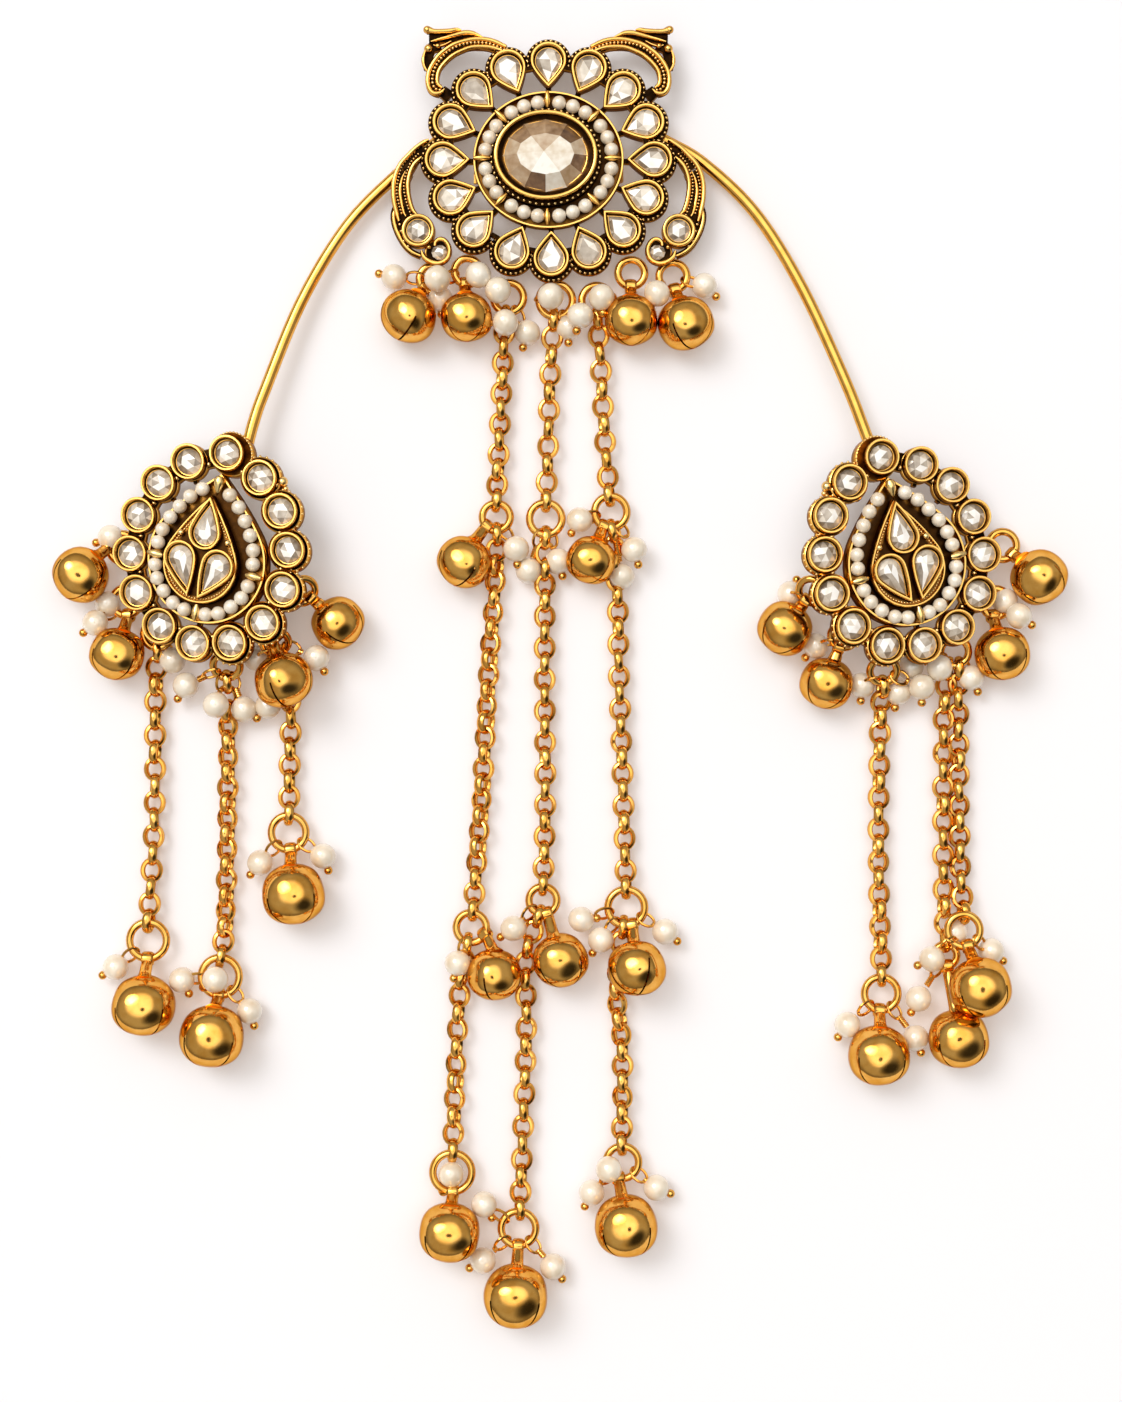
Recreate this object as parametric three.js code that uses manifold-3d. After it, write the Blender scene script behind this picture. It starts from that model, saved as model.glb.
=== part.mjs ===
// Bun ornament: a jewelled brooch on a sliding hair clip, two jewelled side drops on arc wires,
// and eight strands of chain that carry rings, pearls and small round bells.
// Millimetres, +Z up. The ornament lies on z = 0, and the origin is on the underside of the
// clip, right below the middle of the brooch. +Y points to the top of the ornament.
import * as THREE from "three";
import { mergeVertices } from "three/addons/utils/BufferGeometryUtils.js";
import Module from "manifold-3d";

// ---- driving dimensions ----------------------------------------------------------------
const GAP = 0.3; // clearance between separate pieces
const FLOOR_AIR = 0.2; // air left under the chains
const CLIP_LENGTH = 27;
const CLIP_WIDTH = 6;
const CLIP_STRIP = 0.8; // thickness of the spring strip
const CLIP_HEIGHT = 3.6;
const CLIP_STEP = 3; // the upper leaf is this much shorter, so that hair finds the gap
const BACK = CLIP_HEIGHT + GAP; // underside of the brooch
const PLATE = 1.1; // thickness of the brooch's backplates
const SEAT = BACK + PLATE / 2; // bezels stand in the backplate from here
const BEZEL_TOP = 6.9; // rim of the teardrop bezels
const ARM_WIRE = 2.15; // diameter of the two arc wires
const RING_WIRE = 1.2; // diameter of the jump ring wire
const PIN_WIRE = 0.8; // eye pin of a pearl with its wrapped loop
const CHAIN = 3.0; // diameter that the belcher chain fills
const PEARL = 4.4; // hanging pearls
const SEED_PEARL = 2.4; // pearls set in the brooch and the drops
const DROP_TILT = 10; // degrees, outer edge of a side drop down

// ---- colours ---------------------------------------------------------------------------
function metal(colour, roughness) {
  return new THREE.MeshStandardMaterial({ color: colour, roughness, metalness: 1 });
}
const antiqueGold = metal(0xb58a3c, 0.42);
const brightGold = metal(0xe0a94a, 0.22);
const pearlWhite = new THREE.MeshStandardMaterial({ color: 0xf1e6d6, roughness: 0.28, metalness: 0 });
const champagne = new THREE.MeshStandardMaterial({ color: 0xd9bd94, roughness: 0.08, metalness: 0 });

// ---- solids ----------------------------------------------------------------------------
const wasm = await Module();
wasm.setup();

function solidOf(geometry) {
  const bare = geometry.clone();
  bare.deleteAttribute("normal");
  bare.deleteAttribute("uv");
  const merged = mergeVertices(bare, 1e-4);
  const mesh = new wasm.Mesh({
    numProp: 3,
    vertProperties: new Float32Array(merged.attributes.position.array),
    triVerts: new Uint32Array(merged.index.array),
  });
  return new wasm.Manifold(mesh);
}

function joined(solids) {
  return solids.reduce((whole, next) => whole.add(next));
}

function node(name, solid, material) {
  const { vertProperties, triVerts } = solid.getMesh();
  const geometry = new THREE.BufferGeometry();
  geometry.setAttribute("position", new THREE.BufferAttribute(vertProperties.slice(), 3));
  geometry.setIndex(new THREE.BufferAttribute(triVerts.slice(), 1));
  geometry.computeVertexNormals();
  const mesh = new THREE.Mesh(geometry, material);
  mesh.name = name;
  return mesh;
}

// A flat outline, given as Vector2 points, standing from height `from` to height `to`.
function prism(outline, from, to) {
  const settings = { depth: to - from, bevelEnabled: false };
  return solidOf(new THREE.ExtrudeGeometry(new THREE.Shape(outline), settings).translate(0, 0, from));
}

function ellipse(halfX, halfY, sides, x = 0, y = 0) {
  const corners = [];
  for (let i = 0; i < sides; i++) {
    const turn = (2 * Math.PI * i) / sides;
    corners.push(new THREE.Vector2(x + halfX * Math.cos(turn), y + halfY * Math.sin(turn)));
  }
  return corners;
}

// How full a drop outline is: its round end stops at this share of the angle at which a straight
// flank would leave it, and a flank keeps that way for this share of its length before it bends.
const DROP_TANGENT = 1.15;
const DROP_BOW = 0.45;

// A drop outline: a round end of `radius` about the middle, running out to a point at `reach`.
function teardrop(radius, reach, roundSteps, flankSteps) {
  const tangent = Math.acos(radius / reach) * DROP_TANGENT;
  const corners = [new THREE.Vector2(0, reach)];
  const edge = (angle) => new THREE.Vector2(radius * Math.sin(angle), radius * Math.cos(angle));
  const flank = (side) => {
    const foot = edge(side * tangent);
    const way = new THREE.Vector2(-side * Math.cos(tangent), Math.sin(tangent));
    const bow = foot.clone().addScaledVector(way, DROP_BOW * foot.distanceTo(corners[0]));
    return new THREE.QuadraticBezierCurve(corners[0], bow, foot).getPoints(flankSteps);
  };
  corners.push(...flank(1).slice(1));
  for (let i = 1; i < roundSteps; i++) {
    corners.push(edge(tangent + ((2 * Math.PI - 2 * tangent) * i) / roundSteps));
  }
  corners.push(...flank(-1).slice(1).reverse());
  return corners.reverse();
}

// Both edges of a flat strip along a curve; its width runs from `start` to `end`.
function strip(points, start, end, steps) {
  const middle = new THREE.SplineCurve(points.map(([x, y]) => new THREE.Vector2(x, y)));
  const near = [];
  const far = [];
  for (let i = 0; i <= steps; i++) {
    const at = middle.getPoint(i / steps);
    const along = middle.getTangent(i / steps);
    const half = (start + ((end - start) * i) / steps) / 2;
    near.push(new THREE.Vector2(at.x + along.y * half, at.y - along.x * half));
    far.unshift(new THREE.Vector2(at.x - along.y * half, at.y + along.x * half));
  }
  return [...near, ...far];
}

function mirrored(outline) {
  return outline.map((corner) => new THREE.Vector2(-corner.x, corner.y)).reverse();
}

function placed(outline, x, y, turn = 0) {
  return outline.map((corner) => corner.clone().rotateAround(new THREE.Vector2(), turn).add({ x, y }));
}

// A round bar along a smooth curve through points [x, y, z].
function bar(points, diameter, sides, steps) {
  const route = new THREE.CatmullRomCurve3(points.map((p) => new THREE.Vector3(...p)));
  const section = new THREE.Shape(ellipse(diameter / 2, diameter / 2, sides));
  return solidOf(new THREE.ExtrudeGeometry(section, { steps, extrudePath: route }));
}

function ball(diameter, x, y, z) {
  return solidOf(new THREE.SphereGeometry(diameter / 2, 6, 4).translate(x, y, z));
}

// ---- hair clip -------------------------------------------------------------------------
// A spring strip folded on itself; hair slides in from the open end at -X.
function hairClip() {
  const half = CLIP_LENGTH / 2;
  const fold = CLIP_HEIGHT / 2;
  const outline = new THREE.Path();
  outline.moveTo(-half, 0);
  outline.lineTo(half - fold, 0);
  outline.absarc(half - fold, fold, fold, -Math.PI / 2, Math.PI / 2, false);
  outline.lineTo(-half + CLIP_STEP, CLIP_HEIGHT);
  outline.lineTo(-half + CLIP_STEP, CLIP_HEIGHT - CLIP_STRIP);
  outline.lineTo(half - fold, CLIP_HEIGHT - CLIP_STRIP);
  outline.absarc(half - fold, fold, fold - CLIP_STRIP, Math.PI / 2, -Math.PI / 2, true);
  outline.lineTo(-half, CLIP_STRIP);
  const settings = { depth: CLIP_WIDTH, bevelEnabled: false };
  const band = new THREE.ExtrudeGeometry(new THREE.Shape(outline.getPoints(5)), settings);
  return solidOf(band.rotateX(Math.PI / 2).translate(0, CLIP_WIDTH / 2, 0));
}

// ---- brooch ----------------------------------------------------------------------------
const PETALS = 16;
const PETAL_RADII = [18.2, 17.05]; // half-axes of the ellipse that the petals stand on
const STONE_BEZEL = [9.25, 8.0];
const STONE_BEZEL_TOP = 8.3;
const STONE_PLACE = { x: -0.5, y: 0.5 }; // the big stone sits a little off the middle
const CENTRE_STONE = [7.7, 6.75];
const CENTRE_STONE_TOP = 9.4;
const PEARL_LOOP = [11.4, 10.2];
const OUTER_WIRE = [13.45, 12.2]; // fence round the seed pearls, by its middle
const WIRE_OUT = 0.2; // how far the fence reaches out and in from its middle
const WIRE_IN = 0.35;
const WIRE_DROP = 0.4; // its top lies this much under the bezels'
const STONE_AIR = 0.35; // room between the centre stone and its bezel
// A petal's bezel and its backplate; both sit this far outside the ellipse.
const PETAL = { radius: 3.3, reach: 4.7 };
const SCALLOP = 4.3; // radius
const OUTWARD = 0.7;
const SPOKE = { from: 2.4, to: 6.2, start: 1.2, end: 1.0 }; // bar from a petal's point inwards
const SCROLL_TOP = BEZEL_TOP - 1;
const CUT = 1; // how far a cutting tool runs past what it cuts

// Scroll at an upper corner, drawn for the right-hand side: strips with their widths.
const CORNER_SCROLL = [
  { points: [[8.6, 20.3], [14.2, 21.4], [19.4, 19.0], [21.6, 14.6], [20.7, 11.6]], start: 1.6, end: 1.9 },
  { points: [[9.9, 19.4], [14.6, 19.2], [18.2, 16.6], [19.6, 13.2], [18.6, 10.6]], start: 1.2, end: 1.4 },
  { points: [[12.9, 21.9], [17.6, 22.3], [22.2, 22.9]], start: 0.9, end: 1.9 },
  { points: [[17.4, 20.6], [20.1, 21.2], [22.1, 20.9]], start: 0.9, end: 1.2 },
  { points: [[20.0, 19.6], [21.6, 18.6], [22.0, 15.9]], start: 1.2, end: 1.0 },
];
// Arm at a lower side, with the curl below its stone.
const SIDE_ARM = [
  { points: [[22.2, 2.0], [25.9, -1.3], [27.6, -6.2], [26.6, -11.6]], start: 1.6, end: 1.6 },
  { points: [[23.3, -0.9], [25.3, -4.6], [24.6, -9.6]], start: 2.6, end: 2.4 },
  { points: [[23.4, 0.3], [23.6, -4.0], [22.7, -8.6]], start: 1.1, end: 1.2 },
  { points: [[26.6, -11.0], [25.6, -15.6], [21.6, -17.6]], start: 1.7, end: 1.4 },
];
const SIDE_STONE = { x: 23.3, y: -12.7, radius: 2.95, top: 6.6 };
const CURL = { x: 20.0, y: -16.4, radius: 2.6 };

function petalPlaces() {
  const places = [];
  for (let i = 0; i < PETALS; i++) {
    const turn = (2 * Math.PI * i) / PETALS;
    const x = PETAL_RADII[0] * Math.cos(turn);
    const y = PETAL_RADII[1] * Math.sin(turn);
    places.push({ x, y, turn: Math.atan2(y, x) + Math.PI / 2 });
  }
  return places;
}

function broochFrame() {
  const rim = (halves, grow) => ellipse(halves[0] + grow, halves[1] + grow, 24);
  const parts = [prism(rim(OUTER_WIRE, WIRE_OUT), BACK, BACK + PLATE)];
  const fence = prism(rim(OUTER_WIRE, WIRE_OUT), SEAT, BEZEL_TOP - WIRE_DROP);
  parts.push(fence.subtract(prism(rim(OUTER_WIRE, -WIRE_IN), SEAT - CUT, BEZEL_TOP + CUT)));
  const { x: stoneX, y: stoneY } = STONE_PLACE;
  const cup = prism(ellipse(...STONE_BEZEL, 24, stoneX, stoneY), SEAT, STONE_BEZEL_TOP);
  const room = placed(rim(CENTRE_STONE, STONE_AIR), stoneX, stoneY);
  parts.push(cup.subtract(prism(room, BACK + PLATE, STONE_BEZEL_TOP + CUT)));
  const petal = placed(teardrop(PETAL.radius, PETAL.reach, 7, 2), 0, -OUTWARD);
  const scallop = ellipse(SCALLOP, SCALLOP, 8, 0, -OUTWARD);
  const spoke = strip([[0, SPOKE.from], [0, SPOKE.to]], SPOKE.start, SPOKE.end, 1);
  for (const { x, y, turn } of petalPlaces()) {
    parts.push(prism(placed(petal, x, y, turn), SEAT, BEZEL_TOP));
    parts.push(prism(placed(scallop, x, y, turn), BACK, BACK + PLATE));
    parts.push(prism(placed(spoke, x, y, turn), BACK, BACK + PLATE));
  }
  for (const { points, start, end } of [...CORNER_SCROLL, ...SIDE_ARM]) {
    const band = strip(points, start, end, 3);
    parts.push(prism(band, BACK, SCROLL_TOP), prism(mirrored(band), BACK, SCROLL_TOP));
  }
  for (const side of [-1, 1]) {
    const bezel = ellipse(SIDE_STONE.radius, SIDE_STONE.radius, 12, side * SIDE_STONE.x, SIDE_STONE.y);
    const curl = ellipse(CURL.radius, CURL.radius, 10, side * CURL.x, CURL.y);
    parts.push(prism(bezel, BACK, SIDE_STONE.top), prism(curl, BACK, SCROLL_TOP));
  }
  return joined(parts);
}

// Table, crown and pavilion of the oval stone, turned and then drawn out sideways.
function centreStone() {
  const [long, short] = CENTRE_STONE;
  const base = BACK + PLATE + GAP;
  const profile = [
    [0, base], [short * 0.75, base], [short, 7.0], [short * 0.82, CENTRE_STONE_TOP - 0.7],
    [short * 0.55, CENTRE_STONE_TOP], [0, CENTRE_STONE_TOP],
  ];
  const turned = new THREE.LatheGeometry(profile.map(([r, z]) => new THREE.Vector2(r, z)), 16);
  const oval = turned.rotateX(Math.PI / 2).scale(long / short, 1, 1);
  return solidOf(oval.translate(STONE_PLACE.x, STONE_PLACE.y, 0));
}

// A closed round bar through the seed pearls of one setting.
function pearlLoop(middle, diameter, z) {
  const sides = middle.length;
  const section = ellipse(diameter / 2, diameter / 2, 6);
  const positions = [];
  const faces = [];
  for (let i = 0; i < sides; i++) {
    const before = middle[(i + sides - 1) % sides];
    const after = middle[(i + 1) % sides];
    const out = new THREE.Vector2(after.y - before.y, before.x - after.x).normalize();
    for (const corner of section) {
      positions.push(middle[i].x + out.x * corner.x, middle[i].y + out.y * corner.x, z + corner.y);
    }
    for (let k = 0; k < 6; k++) {
      const next = (i + 1) % sides;
      const a = i * 6 + k;
      const b = i * 6 + ((k + 1) % 6);
      const c = next * 6 + k;
      const d = next * 6 + ((k + 1) % 6);
      faces.push(a, c, b, b, c, d);
    }
  }
  const geometry = new THREE.BufferGeometry();
  geometry.setAttribute("position", new THREE.BufferAttribute(new Float32Array(positions), 3));
  geometry.setIndex(faces);
  return solidOf(geometry);
}

// ---- side drops ------------------------------------------------------------------------
// A drop is drawn flat, tip up and its outer side at +X, and then tilted and put in place.
const DROP_BEZEL = 6.4;
const DROP_BEZEL_TOP = 3.2;
const DROP_PLATE = 1.2;
const DROP_SEAT = DROP_PLATE / 2; // bezels stand in the backplate from here
// Round stones from the tip down the outer side to the bottom; the inner side mirrors them.
const DROP_STONES = [
  { x: 0, y: 17.4 }, { x: 6.8, y: 14.4 }, { x: 11.6, y: 9.5 }, { x: 14.2, y: 3.1 },
  { x: 14.5, y: -3.9 }, { x: 12.0, y: -10.4 }, { x: 6.7, y: -15.2 }, { x: 0, y: -16.8 },
];
// Drop outlines by the middle of their round ends: the plate that carries the seed pearls, the
// raised block of the three stones, and the line that the pearls follow.
const DROP_FLOOR = { middle: -2.1, radius: 11.0, reach: 15.6, from: 0, top: 2.2 };
const DROP_HEART = { middle: -2.9, radius: 7.1, reach: 12.5, from: 1.1, top: 5.4 };
const DROP_PEARLS = { middle: -2.4, radius: 9.3, reach: 14.4 };
const DROP_TIP = { inward: 1.2, y: 17.7, radius: 4.7 }; // plate that takes the arc wire
const DROP_LINK = 4.4; // width of the plate between two bezels
const DROP_SPOKE = { width: 1.6, until: 0.7 }; // bar from a bezel inwards, to a share of its place
const SIDE_DROPS = [
  { side: -1, name: "left", x: -59.5, y: -69.9, z: 6.8, turn: -11.8 },
  { side: 1, name: "right", x: 62.4, y: -70.2, z: 6.8, turn: 13.4 },
];

function dropStonePlaces() {
  const inner = DROP_STONES.slice(1, -1).reverse();
  return [...DROP_STONES, ...inner.map(({ x, y }) => ({ x: -x, y }))];
}

function dropFrame(side) {
  const places = dropStonePlaces();
  const parts = places.map(({ x, y }) => {
    return prism(ellipse(DROP_BEZEL / 2, DROP_BEZEL / 2, 8, x, y), DROP_SEAT, DROP_BEZEL_TOP);
  });
  places.forEach(({ x, y }, i) => {
    const next = places[(i + 1) % places.length];
    parts.push(prism(strip([[x, y], [next.x, next.y]], DROP_LINK, DROP_LINK, 1), 0, DROP_PLATE));
  });
  const { width, until } = DROP_SPOKE;
  for (const { x, y } of places) {
    parts.push(prism(strip([[x, y], [x * until, y * until]], width, width, 1), 0, DROP_PLATE));
  }
  const tip = ellipse(DROP_TIP.radius, DROP_TIP.radius, 12, -side * DROP_TIP.inward, DROP_TIP.y);
  parts.push(prism(tip, 0, DROP_PLATE));
  for (const { middle, radius, reach, from, top } of [DROP_FLOOR, DROP_HEART]) {
    parts.push(prism(placed(teardrop(radius, reach, 12, 3), 0, middle), from, top));
  }
  return joined(parts);
}

function dropPearls() {
  const { middle, radius, reach } = DROP_PEARLS;
  const loop = placed(teardrop(radius, reach, 14, 4), 0, middle);
  return pearlLoop(loop, SEED_PEARL, DROP_FLOOR.top + GAP + SEED_PEARL / 2);
}

function placeDrop(mesh, { side, x, y, z, turn }) {
  const stand = new THREE.Group();
  stand.position.set(x, y, z);
  stand.rotation.z = THREE.MathUtils.degToRad(turn);
  mesh.rotation.y = THREE.MathUtils.degToRad(side * DROP_TILT);
  stand.add(mesh);
  return stand;
}

// ---- arc wires -------------------------------------------------------------------------
const ARM_WIRES = [
  {
    name: "left",
    points: [
      [-19.5, 4.5, 2.5], [-27.1, -1.7, 2.5], [-36.2, -11.1, 2.8], [-44.3, -24.8, 3.8],
      [-50.8, -41.0, 4.9], [-52.8, -47.0, 5.5], [-54.3, -53, 5.6],
    ],
  },
  {
    name: "right",
    points: [
      [20.4, 4.6, 2.5], [27.8, 0.3, 2.5], [37.2, -8.8, 2.8], [45.4, -22.2, 3.8],
      [53.0, -38.9, 4.7], [56.7, -48.6, 5.3], [58.3, -53, 5.3],
    ],
  },
];

// ---- rings and pearls ------------------------------------------------------------------
// A jump ring that lies flat or leans `lean` degrees, low on the side that `toward` names
// (degrees from +X), and the pearls that hang on it by their eye pins.
function pearlRing({ x, y, z, outer, lean = 0, toward = 0, pearls }) {
  const reach = outer - RING_WIRE / 2;
  const stand = new THREE.Matrix4().makeTranslation(x, y, z);
  stand.multiply(new THREE.Matrix4().makeRotationZ(THREE.MathUtils.degToRad(toward)));
  stand.multiply(new THREE.Matrix4().makeRotationY(THREE.MathUtils.degToRad(lean)));
  const wire = new THREE.TorusGeometry(reach, RING_WIRE / 2, 4, 9).applyMatrix4(stand);
  const parts = [solidOf(wire)];
  for (const place of pearls) {
    const pearl = new THREE.Vector3(...place);
    const inRing = pearl.clone().applyMatrix4(stand.clone().invert()).setZ(0).setLength(reach);
    const eye = inRing.applyMatrix4(stand);
    parts.push(ball(PEARL, ...place), bar([eye.toArray(), place], PIN_WIRE, 3, 1));
  }
  return joined(parts);
}

const FRINGE_RINGS = [
  {
    name: "brooch_ring_1", x: -20.9, y: -20.7, z: 3, outer: 3.05,
    pearls: [[-27.8, -20.4, 3], [-19.6, -24.2, 2.3]],
  },
  {
    name: "brooch_ring_2", x: -14.6, y: -19.4, z: 3, outer: 3.05,
    pearls: [[-19.8, -21.3, 6.5], [-12.5, -20.6, 6.3]],
  },
  { name: "brooch_ring_3", x: 14.9, y: -19.7, z: 3, outer: 3.1, pearls: [] },
  {
    name: "brooch_ring_4", x: 22.4, y: -20.3, z: 3, outer: 3.2,
    pearls: [[19.4, -23.9, 6.2], [28.1, -22, 3]],
  },
  { name: "left_ring_1", x: -76.7, y: -69.1, z: 2.6, outer: 3.2, pearls: [[-78.9, -67.3, 2.3]] },
  {
    name: "left_ring_2", x: -76.1, y: -78.8, z: 2.6, outer: 3.2,
    pearls: [[-81.3, -82.7, 4.4], [-79.4, -79.2, 2.3]],
  },
  { name: "left_ring_3", x: -43.8, y: -77.1, z: 7.2, outer: 3, lean: 32, toward: -43, pearls: [] },
  { name: "right_ring_1", x: 81.8, y: -68.7, z: 2.6, outer: 3.2, pearls: [] },
  {
    name: "right_ring_2", x: 80.6, y: -79, z: 2.6, outer: 3.2,
    pearls: [[84.2, -81.5, 5.6], [82.3, -78.7, 2.3]],
  },
  {
    name: "right_ring_3", x: 52.7, y: -85.1, z: 6.6, outer: 3, lean: 30, toward: -109,
    pearls: [[48.1, -86.8, 3]],
  },
  {
    name: "right_ring_4", x: 46.9, y: -77.1, z: 7.2, outer: 3, lean: 32, toward: -127,
    pearls: [[43.6, -77.4, 2.3]],
  },
];

// ---- strands ---------------------------------------------------------------------------
const CHAIN_Z = CHAIN / 2 + FLOOR_AIR;
// Each strand: its rings from the top down, and the runs of chain between them. A point of a
// run with no height of its own lies on the surface.
const STRANDS = [
  {
    name: "centre_left",
    rings: [
      {
        x: -7.2, y: -24.1, z: 3, outer: 3.4,
        pearls: [[-9, -23.3, 6.3], [-7.7, -29, 5.6], [-3.8, -30.3, 2.4]],
      },
      { x: -9.4, y: -63.6, z: 2.9, outer: 3.2, pearls: [[-5.8, -69.4, 4]] },
      { x: -13.9, y: -137.5, z: 2.9, outer: 3.4, pearls: [[-16.3, -143.8, 4]] },
      { x: -17.3, y: -181.5, z: 3.2, outer: 4.2, pearls: [[-17.5, -181.9, 3]] },
    ],
    runs: [
      [[-7.8, -26.8], [-8.5, -40.8], [-9, -52], [-9.4, -61.2]],
      [[-9.3, -66], [-9.6, -75], [-10.7, -90], [-11.9, -111.7], [-13.1, -127.7], [-13.6, -134.9]],
      [[-14.5, -139.9], [-16, -149.2], [-16.8, -165], [-17.3, -178.4]],
    ],
  },
  {
    name: "centre_middle",
    rings: [
      { x: 1.3, y: -24.6, z: 3, outer: 3.7, pearls: [[0.4, -24.4, 6.3], [3.6, -29.3, 2.4]] },
      { x: -0.5, y: -63.9, z: 2.9, outer: 3.6, pearls: [[-3.6, -73.2, 2.4], [1.7, -71.5, 2.3]] },
      { x: -1, y: -132.6, z: 2.9, outer: 3.2, pearls: [[-6.3, -137.5, 4]] },
      {
        x: -5.4, y: -191.6, z: 3.2, outer: 3.8,
        pearls: [[-11.6, -187.3, 3], [-11.8, -197.4, 3], [0.8, -198.5, 3]],
      },
    ],
    runs: [
      [[0.9, -27.3], [0.2, -40], [-0.1, -52], [-0.5, -61.2]],
      [[-0.6, -66.6], [-0.7, -92.4], [-0.6, -115], [-1, -130.3]],
      [[-1.5, -134.9], [-4, -142.5], [-4, -155], [-4.4, -168.7], [-5.2, -188.8]],
    ],
  },
  {
    name: "centre_right",
    rings: [
      { x: 8.7, y: -24.6, z: 3, outer: 3.4, pearls: [[5.7, -27.8, 6], [9.5, -24.6, 6.3]] },
      {
        x: 11.2, y: -62.7, z: 2.9, outer: 3.6,
        pearls: [[5.6, -64.1, 3], [15.4, -69.5, 4], [13.2, -74.2, 2.4]],
      },
      { x: 14, y: -133.9, z: 2.9, outer: 4, pearls: [[5.9, -136, 3], [9.4, -139.7, 3], [21, -138.2, 3]] },
      {
        x: 13.3, y: -179.7, z: 3.2, outer: 3.6,
        pearls: [[10.8, -180.6, 5], [7.8, -185.2, 3], [19.4, -184.3, 3]],
      },
    ],
    runs: [
      [[8.8, -27], [9.6, -40], [10.2, -50], [11, -60.2]],
      [[11.4, -65.4], [12.4, -77.2], [12.7, -92], [13.4, -112], [14, -130.9]],
      [[13.5, -136.8], [12.3, -148.8], [13.3, -159.7], [13.2, -177.1]],
    ],
  },
  {
    name: "left_outer",
    rings: [
      { x: -70.3, y: -84.8, z: 4.0, outer: 3.1, lean: 10, toward: -90, pearls: [[-67.7, -89.4, 3]] },
      { x: -72.1, y: -139.8, z: 2.9, outer: 4, pearls: [[-77.9, -144.6, 3]] },
    ],
    runs: [[[-70.4, -87, 2.8], [-70.9, -96.3], [-71.1, -117.3], [-72.1, -137]]],
  },
  {
    name: "left_middle",
    rings: [
      {
        x: -57.6, y: -90.4, z: 5.5, outer: 3.1, lean: 25, toward: -90,
        pearls: [[-65.3, -93.9, 3], [-59.5, -97.4, 5.6], [-54.8, -98.2, 3]],
      },
      {
        x: -59.1, y: -146.3, z: 2.9, outer: 4.1,
        pearls: [[-66, -146.9, 3], [-59.7, -146.6, 5], [-53.8, -152.5, 3]],
      },
    ],
    runs: [[[-57.7, -92.6, 4.2], [-57.8, -100], [-57.8, -107], [-58.2, -134.2], [-59.1, -143.4]]],
  },
  {
    name: "left_inner",
    rings: [
      {
        x: -48.7, y: -86.2, z: 6.8, outer: 3, lean: 30, toward: -76,
        pearls: [[-50.5, -97.6, 3], [-52.5, -89, 3], [-41.6, -89, 4.6]],
      },
      { x: -46.8, y: -120.4, z: 2.9, outer: 3.8, pearls: [[-51.9, -125.8, 3], [-40.6, -124.6, 3]] },
    ],
    runs: [[[-48, -88.1, 4.6], [-47.2, -92.5], [-46.5, -98], [-46.7, -107.9], [-46.8, -117.6]]],
  },
  {
    name: "right_inner",
    rings: [
      {
        x: 59.9, y: -91.3, z: 5.7, outer: 3.1, lean: 25, toward: -90,
        pearls: [[56.4, -93.9, 3], [63, -95.2, 3], [66.9, -94.2, 5]],
      },
      { x: 59.9, y: -149.4, z: 2.9, outer: 3.7, pearls: [[53.8, -155, 3], [66.1, -157.4, 3]] },
    ],
    runs: [[[60, -93.5, 4.3], [59.8, -101], [59.5, -123.6], [60, -146.7]]],
  },
  {
    name: "right_outer",
    rings: [
      {
        x: 72.9, y: -87.9, z: 4.1, outer: 3.2, lean: 10, toward: -90,
        pearls: [[70.1, -90.8, 5], [65.2, -90.6, 2.6], [76.1, -92.5, 3]],
      },
      { x: 71.5, y: -142.5, z: 2.9, outer: 2.7, pearls: [[66.6, -150.3, 3]] },
      {
        x: 74.4, y: -137.8, z: 5, outer: 3.6,
        pearls: [[68.7, -142.9, 5], [73.2, -138.5, 2.4], [79.7, -141.7, 3]],
      },
    ],
    runs: [
      [[72.1, -90.2, 2.9], [71.3, -100], [71.2, -127.2], [71.5, -140.5]],
      [[73.9, -90.2, 2.9], [73.9, -100], [74, -114.6], [74.3, -127.6], [74.8, -135.4, 3]],
    ],
  },
];

function strand({ rings, runs }) {
  const chains = runs.map((points) => {
    const route = points.map(([x, y, z = CHAIN_Z]) => [x, y, z]);
    return bar(route, CHAIN, 6, 2 * (points.length - 1));
  });
  return joined([...rings.map(pearlRing), ...chains]);
}

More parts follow.
